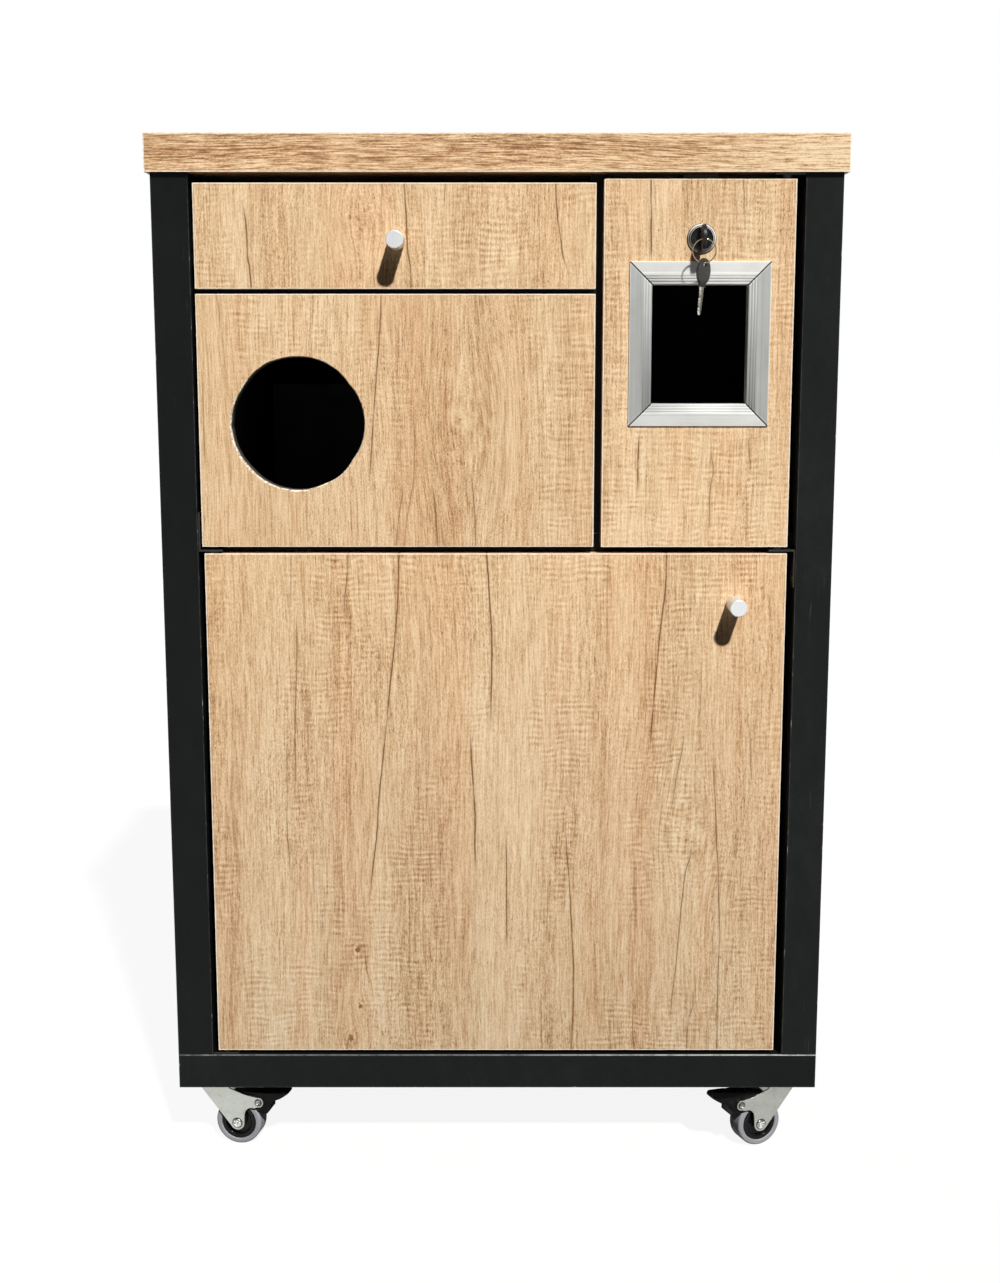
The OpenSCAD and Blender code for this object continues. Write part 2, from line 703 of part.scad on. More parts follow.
// Wide at the crown, with a lobe for the brake pivot when braked
module cheek_outline(braked) {
  arch_z = brake_z - 15.4;
  difference() {
    union() {
      polygon(braked ? braked_cheek : plain_cheek);
      translate([trail, axle_z]) circle(r = 8.1);
      if (braked) {
        translate([brake_x, brake_z]) circle(r = 5.6);
        // web that the arch below is cut from
        translate([trail + 8, arch_z]) square([9.5, 9.5]);
      }
    }
    if (braked) translate([trail + 17.5, arch_z]) circle(r = 8.6);
    translate([trail, axle_z]) circle(r = 3.02);
  }
}
// Brake rivet with a dished head outside the cheek: radius, distance from mid fork
rivet_outline = [[0, cheek_y0 - 2.5], [2.5, cheek_y0 - 2.5], [2.5, cheek_y0 + 0.5],
  [2.5, cheek_y1 - 0.1], [3.6, cheek_y1 - 0.1], [3.5, cheek_y1 + 0.9], [2.7, cheek_y1 + 1.3],
  [2, cheek_y1 + 1], [1.5, cheek_y1 + 0.3], [0, cheek_y1 + 0.3]];
module fork(i, braked) {
  color(zinc) at_castor(i) {
    for (y = [-cheek_y1, cheek_y0]) xz(y, y + cheek_t) cheek_outline(braked);
    // crown round the swivel pin
    difference() {
      union() {
        translate([0, 0, base_z - 6.6]) cylinder(r = 22, h = 2.6);
        translate([0, 0, base_z - 4.1]) cylinder(r1 = 20.5, r2 = 19, h = 1.7);
      }
      translate([0, 0, base_z - 8]) cylinder(r = 5.06, h = 8);
    }
    if (braked) for (s = [-1, 1]) translate([brake_x, 0, brake_z])
      rotate([s * 90, 0, 0]) rotate_extrude() polygon(rivet_outline);
  }
}

// Turned part on castor i's axle. The half outline lists radius and distance
// from the wheel's middle plane, and is mirrored in that plane.
module on_axle(i, half) {
  at_castor(i) translate([trail, 0, axle_z]) rotate([90, 0, 0]) rotate_extrude()
    polygon(concat([for (p = half) [p[0], -p[1]]],
      [for (k = [len(half) - 1 : -1 : 0]) half[k]]));
}
module axle(i) {
  w = cheek_y1;
  color("silver") on_axle(i, [[0, w + 2], [2.4, w + 1.9], [4.2, w + 1.4], [5.4, w + 0.5],
    [5.4, w], [3, w]]);
}
module tyre(i) {
  h = tyre_w / 2;
  r = 2.6;                           // shoulder radius
  color([0.58, 0.57, 0.6]) on_axle(i, concat([[hub_r, h - 1], [hub_r + 0.8, h]],
    [for (a = [90 : -15 : 0]) [wheel_r - r + r * cos(a), h - r + r * sin(a)]]));
}
// Dished hub with a boss round the axle
module hub(i) {
  h = tyre_w / 2;
  color([0.09, 0.09, 0.09]) on_axle(i, [[3.06, h + 1], [7, h + 1], [7.6, h - 3.5],
    [13.5, h - 3.5], [15.5, h - 0.6], [hub_r - 1, h], [hub_r, h - 1]]);
}

// Rocker brake, x and z: barrel between the cheeks with a shoe over the tyre
rocker_outline = [[16.5, base_z - 16], [19, base_z - 12.8], [54, base_z - 12.2],
  [64, base_z - 15], [66, base_z - 21.5], [61.5, base_z - 27], [60, base_z - 30],
  [60.2, base_z - 34.5], [58.5, base_z - 36.2], [53.5, base_z - 36], [46, base_z - 32],
  [33, base_z - 19.5], [16.5, base_z - 18.5]];
// Its pad outside the fork
pad_outline = [[52, base_z - 12.4], [78, base_z - 11], [82.5, base_z - 12.5],
  [82, base_z - 15.5], [75, base_z - 17.5], [70, base_z - 18.8], [65, base_z - 22],
  [60.5, base_z - 28], [52, base_z - 29]];
module pedal(i) {
  w = cheek_y0 - 0.4;                // half width between the cheeks
  pad_w = 13;                        // half width of the pad
  corner_r = 9;
  corner_x = 73.5;
  z0 = base_z - 30;
  color([0.1, 0.1, 0.1]) at_castor(i) difference() {
    union() {
      xz(-w, w) difference() {
        polygon(rocker_outline);
        translate([trail, axle_z]) circle(r = wheel_r + 2.3);
      }
      // pad with rounded corners at its free end
      intersection() {
        xz(-pad_w, pad_w) polygon(pad_outline);
        union() {
          box([50, -w, z0], [58, w, base_z]);
          box([57.5, -pad_w, z0], [corner_x, pad_w, base_z]);
          box([50, corner_r - pad_w, z0], [corner_x + corner_r, pad_w - corner_r, base_z]);
          for (s = [-1, 1]) translate([corner_x, s * (pad_w - corner_r), z0])
            cylinder(r = corner_r, h = 30);
        }
      }
    }
    // underside hollow of the pad
    xz(-10, 10) polygon([[67.5, base_z - 15], [79, base_z - 14], [79, base_z - 40],
      [67.5, base_z - 40]]);
    ycyl(brake_x, brake_z, -20, 20, 2.56);
  }
}
module front_left_fork() { fork(0, true); }
module front_left_axle() { axle(0); }
module front_left_tyre() { tyre(0); }
module front_left_hub() { hub(0); }
module front_left_pedal() { pedal(0); }
module front_right_fork() { fork(1, true); }
module front_right_axle() { axle(1); }
module front_right_tyre() { tyre(1); }
module front_right_hub() { hub(1); }
module front_right_pedal() { pedal(1); }
module rear_left_fork() { fork(2, false); }
module rear_left_axle() { axle(2); }
module rear_left_tyre() { tyre(2); }
module rear_left_hub() { hub(2); }
module rear_right_fork() { fork(3, false); }
module rear_right_axle() { axle(3); }
module rear_right_tyre() { tyre(3); }
module rear_right_hub() { hub(3); }

base_board();
left_side_panel();
right_side_panel();
top_board();
back_panel();
mid_shelf();
divider_panel();
drawer_shelf();
round_drop_panel();
drop_chute();
collection_bin();
carcass_screws();
runner_outer_members();
door_pivot_brackets();
bracket_screws();
lock_keeper();
magnet_catch();
castor_plates();
castor_screws();
drawer_front();
drawer_box();
drawer_bottom();
drawer_knob();
drawer_knob_screw();
runner_inner_members();
left_runner_middle();
right_runner_middle();
lockable_door();
frame_cross_rails();
frame_side_rails();
lock_housing();
lock_nut();
lock_plug();
lock_cam();
cam_screw();
door_key();
key_ring();
spare_key();
lower_door();
lower_door_knob();
lower_knob_screw();
strike_plate();
front_left_fork();
front_left_axle();
front_left_tyre();
front_left_hub();
front_left_pedal();
front_right_fork();
front_right_axle();
front_right_tyre();
front_right_hub();
front_right_pedal();
rear_left_fork();
rear_left_axle();
rear_left_tyre();
rear_left_hub();
rear_right_fork();
rear_right_axle();
rear_right_tyre();
rear_right_hub();
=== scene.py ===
"""Looks for a wood-fronted cabinet on castors: a drawer, a fixed panel with a round drop hole over
a chute and bin, a framed lockable door, and a lower door.

Metres, Z up. The front faces -Y, and +X is on the right as seen from the front.
"""
import json
import math
from functools import cached_property, reduce

import bmesh
import bpy
from mathutils import Matrix, Vector, noise

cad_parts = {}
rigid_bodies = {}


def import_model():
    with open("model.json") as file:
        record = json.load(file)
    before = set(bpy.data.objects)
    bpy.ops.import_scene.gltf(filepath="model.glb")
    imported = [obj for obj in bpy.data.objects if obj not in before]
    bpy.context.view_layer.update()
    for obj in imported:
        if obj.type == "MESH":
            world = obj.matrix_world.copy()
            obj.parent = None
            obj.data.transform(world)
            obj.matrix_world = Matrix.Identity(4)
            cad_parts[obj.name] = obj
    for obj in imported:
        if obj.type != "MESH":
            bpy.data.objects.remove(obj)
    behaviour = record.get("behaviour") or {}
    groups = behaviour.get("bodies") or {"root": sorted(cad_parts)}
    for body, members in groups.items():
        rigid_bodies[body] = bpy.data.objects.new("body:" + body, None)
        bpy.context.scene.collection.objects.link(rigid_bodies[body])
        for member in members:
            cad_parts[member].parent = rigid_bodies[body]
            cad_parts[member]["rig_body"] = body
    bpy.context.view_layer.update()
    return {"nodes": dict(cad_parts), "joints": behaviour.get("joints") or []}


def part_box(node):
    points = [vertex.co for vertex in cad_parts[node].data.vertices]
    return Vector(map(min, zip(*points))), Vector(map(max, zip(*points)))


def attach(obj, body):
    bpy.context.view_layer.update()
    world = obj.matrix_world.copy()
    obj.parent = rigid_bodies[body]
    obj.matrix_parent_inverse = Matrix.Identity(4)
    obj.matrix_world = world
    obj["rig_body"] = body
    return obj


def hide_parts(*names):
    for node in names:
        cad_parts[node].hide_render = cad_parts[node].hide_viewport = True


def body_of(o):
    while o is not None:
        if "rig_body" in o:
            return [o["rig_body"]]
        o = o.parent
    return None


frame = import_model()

NODES = frame["nodes"]
BODY = {node: body_of(obj)[0] for node, obj in NODES.items()}
JOINTS = {joint["name"]: joint for joint in frame["joints"]}
SCENE = bpy.context.scene

BEVEL_ANGLE = math.radians(32)  # edges sharper than this are rounded
BEVEL_SEGMENTS = 2
SHARP_ANGLE = math.radians(50)  # shading breaks above this
FRONT_Y = -0.207  # front face of the fixed panel, for its raw edge

HOLE_X, HOLE_Z, HOLE_RADIUS = -0.2055, 0.8005, 0.068
HOLE_STEPS = 288
FLAT_DEPTH_MM = 1.5  # inward reach of a flat of depth 1
# Flats on the hole's rim: angle and half-width in degrees, relative depth.
HOLE_FLATS = [
    (148, 15, 0.9), (38, 13, 1.0), (-33, 12, 0.9), (-68, 12, 0.7),
    (222, 14, 0.5), (95, 12, 0.3), (182, 3, -0.5),
]

LOCK_X, LOCK_Z = 0.2075, 0.987
DOOR_KEY_ORIGIN = Vector((LOCK_X, -0.2253, LOCK_Z))
DOOR_KEY_BOW = 0.0155  # length of the moulded part
SPARE_KEY_TOP = Vector((LOCK_X, -0.2323, 0.96))
SPARE_KEY_BOW = 0.0215
SPARE_KEY_LEAN = math.radians(5)
SPARE_KEY_YAW = math.radians(55)
BLADE_START = 0.0225  # first cut across the spare key's blade
BLADE_PITCH = 0.0009
BLADE_CUTS = 40
TEETH = [0.0, 0.9, 0.3, 1.0, 0.45, 0.1, 0.8, 1.0, 0.2, 0.6]  # relative depth of each cut

RING_TURNS, RING_STEPS, RING_SIDES = 1.94, 72, 10
RING_WIRE = 0.0006  # radius of the wire
RING_INSET = 0.0007  # from the ring's outside to the wire's middle
RING_START = 0.9  # radians
RING_SHIFT = 0.0011  # sideways travel from end to end

PAD_START = 0.066  # from the castor's swivel to the sloping part of the brake pad
PAD_DROP = 0.0215  # underside there, below the foot of the base board
PAD_SLOPE = 9.2 / 16.5


def srgb(*colour):
    """sRGB 0-255 to a linear colour with alpha."""
    return tuple(
        (v / 255 / 12.92) if v <= 10 else ((v / 255 + 0.055) / 1.055) ** 2.4 for v in colour
    ) + (1.0,)


def grey(value):
    return (value, value, value, 1)


def triple(value):
    return value if isinstance(value, tuple) else (value,) * 3


def corners(node):
    lo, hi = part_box(node)
    return tuple(lo), tuple(hi)


# ------------------------------------------------------------------ node trees
class Mat:
    """A material under construction: sockets in, sockets out."""

    def __init__(self, name):
        self.material = bpy.data.materials.new(name)
        self.material.use_nodes = True
        self.tree = self.material.node_tree
        self.tree.nodes.clear()
        self.output = self.node("ShaderNodeOutputMaterial")
        self.shader = self.node("ShaderNodeBsdfPrincipled")
        self.put(self.output.inputs["Surface"], self.shader.outputs[0])
        self.pos = self.position()

    def position(self):
        return self.node("ShaderNodeTexCoord").outputs["Object"]

    def split(self, vector):
        return self.node("ShaderNodeSeparateXYZ", {0: vector}).outputs

    @cached_property
    def xyz(self):
        return self.split(self.pos)

    def node(self, kind, inputs=None, **props):
        node = self.tree.nodes.new(kind)
        for key, value in props.items():
            setattr(node, key, value)
        for key, value in (inputs or {}).items():
            self.put(node.inputs[key], value)
        return node

    def put(self, socket, value):
        if isinstance(value, bpy.types.NodeSocket):
            self.tree.links.new(value, socket)
        else:
            socket.default_value = value

    def math(self, op, *values):
        return self.node("ShaderNodeMath", dict(enumerate(values)), operation=op).outputs[0]

    def vec(self, op, *values):
        return self.node("ShaderNodeVectorMath", dict(enumerate(values)), operation=op).outputs[0]

    def add(self, a, b):
        return self.math("ADD", a, b)

    def sub(self, a, b):
        return self.math("SUBTRACT", a, b)

    def mul(self, a, b):
        return self.math("MULTIPLY", a, b)

    def mad(self, a, b, c):
        return self.math("MULTIPLY_ADD", a, b, c)

    def highest(self, values):
        return reduce(lambda a, b: self.math("MAXIMUM", a, b), values)

    def vary(self, base, *swings):
        """base plus each (noise, amount), the noise taken about its middle."""
        for value, amount in swings:
            base = self.mad(self.sub(value, 0.5), amount, base)
        return base

    def shifted(self, seed, factors=(1, 0.6, 1.7)):
        """Object position moved by a seed, so that each board or part has its own pattern."""
        return self.vec("ADD", self.pos, tuple(seed * f for f in factors))

    def stretch(self, vector, scale, offset=0):
        return self.vec("MULTIPLY_ADD", vector, triple(scale), triple(offset))

    def noise(self, vector, scale, detail=2.0, rough=0.5, offset=0):
        """Noise of about `scale` cycles per metre, given per axis or for all three."""
        where = self.stretch(vector, scale, offset)
        inputs = {"Vector": where, "Scale": 1.0, "Detail": detail, "Roughness": rough}
        return self.node("ShaderNodeTexNoise", inputs).outputs[0]

    def remap(self, value, span, to=(0.0, 1.0), smooth=True):
        """Takes the ends of span to the ends of to, and holds them beyond."""
        return self.node(
            "ShaderNodeMapRange",
            {0: value, 1: span[0], 2: span[1], 3: to[0], 4: to[1]},
            interpolation_type="SMOOTHSTEP" if smooth else "LINEAR",
        ).outputs[0]

    def band(self, value, centre, span, to=(1, 0)):
        """A line where value is at centre; span is where its edge starts and ends."""
        return self.remap(self.math("ABSOLUTE", self.sub(value, centre)), span, to)

    def ramp(self, fac, stops):
        node = self.node("ShaderNodeValToRGB", {0: fac})
        elements = node.color_ramp.elements
        while len(elements) < len(stops):
            elements.new(0.5)
        for element, (place, colour) in zip(elements, stops):
            element.position = place
            element.color = colour
        return node.outputs[0]

    def tones(self, fac, base, dark, light):
        """Ramp round an sRGB colour, from dark times it to light times it."""
        stops = [
            (0.0, srgb(*(v * dark for v in base))),
            (0.5, srgb(*base)),
            (1.0, srgb(*(min(255, v * light) for v in base))),
        ]
        return self.ramp(fac, stops)

    def mix(self, fac, a, b, blend="MIX"):
        inputs = {0: fac, 6: a, 7: b}
        return self.node("ShaderNodeMix", inputs, data_type="RGBA", blend_type=blend).outputs[2]

    def bump(self, height, strength, distance):
        inputs = {"Strength": strength, "Distance": distance, "Height": height}
        return self.node("ShaderNodeBump", inputs).outputs[0]

    def curve(self, value, points):
        node = self.node("ShaderNodeFloatCurve", {1: value})
        curve = node.mapping.curves[0]
        while len(curve.points) < len(points):
            curve.points.new(0.5, 0.5)
        for k, place in enumerate(points):
            curve.points[k].location = place
            curve.points[k].handle_type = "AUTO"
        node.mapping.update()
        return node.outputs[0]

    def edge(self, box):
        """Distance to the nearest edge of a board between two corners."""
        depth = []
        for at, lo, hi in zip(self.xyz, *box):
            from_middle = self.math("ABSOLUTE", self.sub(at, (lo + hi) / 2))
            depth.append(self.sub((hi - lo) / 2, from_middle))
        low = self.math("MINIMUM", self.math("MINIMUM", depth[0], depth[1]), depth[2])
        top = self.highest(depth)
        total = self.add(self.add(depth[0], depth[1]), depth[2])
        return self.sub(self.sub(total, low), top)

    def occlusion_shade(self, reach):
        """Painted shade from ambient occlusion: 1 deep in a corner, 0 on open faces."""
        node = self.node("ShaderNodeAmbientOcclusion", {"Distance": reach}, samples=6)
        return self.remap(node.outputs["AO"], (0.25, 0.85), to=(1, 0))

    def recolour(self, colour):
        self.put(self.shader.inputs["Base Color"], colour)

    @property
    def colour(self):
        return self.shader.inputs["Base Color"].links[0].from_socket

    def surface(self, **inputs):
        for key, value in inputs.items():
            self.put(self.shader.inputs[key.replace("_", " ")], value)
        return self


# ------------------------------------------------------------------ geometry
def smooth(mesh):
    for face in mesh.polygons:
        face.use_smooth = True


def link(name, mesh, mats, body, weighted=True):
    obj = bpy.data.objects.new(name, mesh)
    SCENE.collection.objects.link(obj)
    mesh.materials.clear()  # also resets the faces' material indices
    for mat in mats:
        mesh.materials.append(mat.material)
    if weighted:
        normals = obj.modifiers.new("normals", "WEIGHTED_NORMAL")
        normals.mode = "FACE_AREA"
        normals.weight = 50
        normals.keep_sharp = True
        normals.thresh = 0.01
    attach(obj, body)
    return obj


def to_mesh(bm, name):
    mesh = bpy.data.meshes.new(name)
    bm.to_mesh(mesh)
    bm.free()
    return mesh


def clean(node):
    """The CAD node's mesh as a bmesh with shared vertices and merged flat faces."""
    bm = bmesh.new()
    bm.from_mesh(NODES[node].data)
    bmesh.ops.remove_doubles(bm, verts=bm.verts, dist=2e-6)
    bmesh.ops.dissolve_limit(
        bm, angle_limit=math.radians(0.8), verts=bm.verts, edges=bm.edges,
        use_dissolve_boundaries=False,
    )
    bmesh.ops.recalc_face_normals(bm, faces=bm.faces)
    return bm


def soften(bm, width):
    """Rounds each sharp convex or concave edge."""
    edges = [
        e for e in bm.edges
        if len(e.link_faces) == 2 and e.calc_face_angle(0.0) >= BEVEL_ANGLE
    ]
    if edges:
        bmesh.ops.bevel(
            bm, geom=edges, offset=width, offset_type="OFFSET", segments=BEVEL_SEGMENTS,
            profile=0.5, affect="EDGES", clamp_overlap=True,
        )


def bridge(bm, rings):
    """Joins each closed ring of vertices to the next."""
    for ring, after in zip(rings, rings[1:]):
        count = len(ring)
        for i in range(count):
            j = (i + 1) % count
            bm.faces.new((ring[i], ring[j], after[j], after[i]))


def dress(node, mat, bevel, shape=None):
    """A finished copy of a CAD node, with its edges rounded, that stands for it."""
    bm = clean(node)
    if shape:
        shape(bm)
    if bevel:
        soften(bm, bevel)
    mesh = to_mesh(bm, node + "_piece")
    mesh.set_sharp_from_angle(angle=SHARP_ANGLE)
    smooth(mesh)
    obj = link(node + "_piece", mesh, [mat], BODY[node])
    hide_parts(node)
    return obj


# ------------------------------------------------------------------ wood decor
CRACK = srgb(118, 76, 34)
WOOD = [
    (0.0, srgb(146, 105, 70)),
    (0.36, srgb(203, 163, 122)),
    (0.62, srgb(228, 194, 154)),
    (1.0, srgb(249, 223, 187)),
]
MOTTLE_MIN = 20  # mm; a knot wider than this is a mottled patch without a dark heart
OPEN_END = 8  # mm; a crack ending this close to the board's end runs off it


class Oak(Mat):
    """Wood-look board. Its cracks, dots and knots are placed in mm, across and along the grain."""

    def __init__(self, name, seed, axis, box):
        super().__init__(name)
        across, self.along_axis = (0, 2) if axis == "Z" else (2, 0)
        self.box = box
        self.across, self.along = self.xyz[across], self.xyz[self.along_axis]
        self.across_axis = across
        self.still = self.shifted(seed, (1.37, 0.71, 2.13))

    def grain(self, vector, across, along, **settings):
        """Noise with its own scale across and along the grain."""
        scale = [across] * 3
        scale[self.along_axis] = along
        return self.noise(vector, tuple(scale), **settings)

    def offsets(self, across, place):
        """Distances in metres from a place in mm."""
        return self.sub(across, place[0] / 1000), self.sub(self.along, place[1] / 1000)

    def radius_squared(self, dx, dz, across, along):
        return self.add(
            self.math("POWER", self.mul(dx, across), 2), self.math("POWER", self.mul(dz, along), 2)
        )

    def bend(self, knots):
        """Sets the position along which the grain wanders, bent round the knots."""
        slow = self.sub(self.grain(self.still, 5, 1.6, detail=1), 0.5)
        quick = self.grain(self.still, 34, 7)
        sway = self.vary(self.mul(slow, 0.03), (quick, 0.0045))
        for *place, wide, tall in knots:
            dx, dz = self.offsets(self.across, place)
            far = self.radius_squared(dx, dz, 1000 / wide, 1000 / tall)
            pull = self.math("EXPONENT", self.mul(far, -1))
            sway = self.add(sway, self.mul(self.mul(dx, -0.62), pull))
        shift = self.node("ShaderNodeCombineXYZ", {self.across_axis: sway}).outputs[0]
        self.bent = self.vec("ADD", self.still, shift)

    def tone(self, base, gain, waves):
        """Lightness of the wood; gain scales its streaks and waves its cross ripple."""
        still, bent = self.still, self.bent
        broad = self.grain(bent, 15, 1.3, rough=0.55)
        streaks = self.grain(bent, 70, 3.2, rough=0.55)
        thin = self.grain(bent, 230, 5.5, detail=3, rough=0.6)
        self.fine = self.grain(bent, 700, 34, detail=3, rough=0.66)
        self.fleck = self.grain(bent, 950, 420, rough=0.7)
        pore = self.grain(bent, 860, 120, detail=1)
        patch = self.remap(self.grain(still, 16, 7, offset=3), (0.42, 0.66))
        ripple = self.grain(bent, 34, 300, detail=1.5, offset=(7, 1, 5))
        rippled = self.remap(self.grain(still, 11, 4.2, detail=1, offset=(1, 9, 2)), (0.44, 0.6))
        tone = self.add(0.60 + base, self.mul(self.sub(broad, 0.5), 0.66 * gain))
        tone = self.vary(
            tone,
            (streaks, 0.36 * gain),
            (thin, 0.34 * gain),
            (self.fine, 1.4 * gain),
            (self.fleck, self.remap(patch, (0, 1), to=(0.95, 1.35))),
            (ripple, self.mul(rippled, 0.42 * waves)),
        )
        # regular waves across the grain, in the rippled areas
        warp = self.grain(still, 20, 18, offset=(8, 2, 6))
        wave = self.math("SINE", self.mad(self.along, 980.0, self.mul(warp, 18.0)))
        broken = self.remap(self.grain(still, 75, 60, offset=2), (0.44, 0.62))
        tone = self.mad(wave, self.mul(self.mul(rippled, broken), 0.15 * waves), tone)
        self.pores = self.mul(
            self.remap(pore, (0.56, 0.7)), self.remap(patch, (0, 1), to=(0.3, 0.6))
        )
        tone = self.sub(tone, self.mul(self.pores, 0.42))
        # thin darker growth lines, broken along their length
        hair = self.mul(
            self.remap(self.grain(bent, 300, 2.2, rough=0.55, offset=4), (0.6, 0.65)),
            self.remap(self.grain(bent, 60, 16, detail=1), (0.42, 0.56)),
        )
        return self.sub(tone, self.mul(hair, 0.13 * gain))

    def mottle(self, tone, place, wide, tall):
        """A mottled patch."""
        dx, dz = self.offsets(self.across, place)
        dx, dz = self.mul(dx, 1000 / wide), self.mul(dz, 1000 / tall)
        far = self.math("SQRT", self.add(self.mul(dx, dx), self.mul(dz, dz)))
        near = self.remap(far, (0.3, 1.0), to=(1, 0))
        spots = self.grain(self.bent, 190, 75, rough=0.6, offset=5)
        return self.mad(self.sub(spots, 0.52), self.mul(near, 0.7), tone)

    def knot(self, tone, place, wide, tall):
        """A dark heart with rings round it."""
        dx, dz = self.offsets(self.across, place)
        far = self.math("SQRT", self.radius_squared(dx, dz, 3000 / wide, 3000 / tall))
        wavy = self.vary(far, (self.fleck, 1.6))
        rings = self.mul(
            self.remap(self.math("SINE", self.mul(wavy, 5.5)), (0.2, 0.9)),
            self.remap(far, (0.4, 2.6), to=(1, 0)),
        )
        tone = self.sub(tone, self.mul(rings, 0.3))
        return self.sub(tone, self.mul(self.remap(wavy, (0.25, 0.75), to=(1, 0)), 0.6))

    def crack(self, across, strength, points):
        """A dark line with a faint halo through points, fading where it ends on the board."""
        points = sorted(((v, u) for u, v in points), key=lambda point: point[0])
        (start, start_across), (end, end_across) = points[0], points[-1]
        left = min(u for _, u in points) - 1
        right = max(u for _, u in points) + 1
        fraction = self.remap(self.along, (start / 1000, end / 1000), smooth=False)
        if len(points) == 2 or right - left < 2.4:
            run = (end_across - start_across) / 1000
            middle = self.mad(fraction, run, start_across / 1000)
        else:
            path = [((v - start) / (end - start), (u - left) / (right - left)) for v, u in points]
            middle = self.mad(self.curve(fraction, path), (right - left) / 1000, left / 1000)
        away = self.math("ABSOLUTE", self.sub(across, middle))
        lo, hi = (corner[self.along_axis] * 1000 for corner in self.box)
        open_start, open_end = start < lo + OPEN_END, end > hi - OPEN_END
        if open_start and open_end:
            inside = 1.0
        elif open_start:
            inside = self.sub(end / 1000, self.along)
        elif open_end:
            inside = self.sub(self.along, start / 1000)
        else:
            from_start = self.sub(self.along, start / 1000)
            inside = self.math("MINIMUM", from_start, self.sub(end / 1000, self.along))
        fade = self.remap(inside, (0.0, 0.014 + 0.0001 * (end - start)))
        width = 0.00042 + 0.0004 * strength
        core = self.remap(away, (width * 0.35, width * 1.7), to=(1, 0))
        halo = self.remap(away, (0.0, width * 6), to=(1, 0))
        core = self.mul(core, self.mul(fade, strength))
        halo = self.mul(halo, self.mul(fade, strength * 0.16))
        return self.math("MAXIMUM", core, halo)

    def dot(self, across, place):
        dx, dz = self.offsets(across, place)
        far = self.math("SQRT", self.radius_squared(dx, dz, 1100, 620))
        return self.remap(self.vary(far, (self.fleck, 1.2)), (0.35, 1.15), to=(1, 0))


def oak(name, seed, axis, box, lines=(), dots=(), knots=(), tone=0.0, foot_shade=0.0, gain=1.0,
        waves=1.0):
    """Board with its grain along axis. tone shifts it all; fall paints shade that darkens it
    towards its foot, as the light falls off down the board.
    """
    m = Oak(name, seed, axis, box)
    m.bend(knots)
    light = m.tone(tone, gain, waves)
    for *place, wide, tall in knots:
        light = (m.mottle if wide > MOTTLE_MIN else m.knot)(light, place, wide, tall)
    colour = m.ramp(light, WOOD)
    # slight drift between pinkish and yellowish wood
    hue = m.remap(m.grain(m.bent, 22, 1.0, detail=1, offset=(2, 5, 8)), (0.35, 0.65))
    drift = m.mix(hue, (1.0, 0.945, 0.895, 1), (0.985, 1.0, 0.975, 1))
    colour = m.mix(0.72, colour, drift, "MULTIPLY")
    # painted shade: darker and greyer towards the foot, where less of the light reaches
    if foot_shade:
        foot, head = (corner[m.along_axis] for corner in box)
        down = m.mul(m.remap(m.along, (head, foot), smooth=False), foot_shade)
        colour = m.mix(down, colour, (0.70, 0.75, 0.83, 1), "MULTIPLY")
    height = m.add(m.mul(m.fine, 0.6), m.mul(m.pores, -1.0))
    if lines:
        jag = m.mul(m.sub(m.grain(m.still, 260, 130), 0.5), 0.0011)
        ragged = m.add(m.across, jag)
        uneven = m.remap(m.grain(m.still, 120, 34), (0.28, 0.5), to=(0.5, 1.0))
        dark = m.highest([m.crack(ragged, *line) for line in lines])
        cover = m.math("MINIMUM", m.mul(m.mul(dark, uneven), 1.25), 0.92)
        colour = m.mix(cover, colour, CRACK)
        spots = m.highest([m.dot(ragged, place) for place in dots])
        colour = m.mix(m.mul(spots, 0.62), colour, CRACK)
        height = m.mad(dark, -0.5, height)
    # a pale arris, partly wear and partly a painted highlight where the rounded edge catches the
    # light, and a thin glue line just inside it
    edge = m.edge(box)
    wear = m.remap(m.noise(m.still, 240, detail=3, rough=0.6), (0.3, 0.7), to=(0.5, 0.95))
    arris = m.mul(m.remap(edge, (0.0006, 0.0016), to=(1, 0)), wear)
    colour = m.mix(arris, colour, srgb(255, 246, 228))
    glue = m.mul(m.band(edge, 0.0017, (0.0001, 0.0004)), 0.22)
    colour = m.mix(glue, colour, srgb(150, 116, 80))
    return m.surface(
        Base_Color=colour,
        Roughness=m.mad(m.sub(1.0, m.fine), 0.2, 0.47),
        Normal=m.bump(height, strength=0.35, distance=0.00025),
        Specular_IOR_Level=0.14,
    )


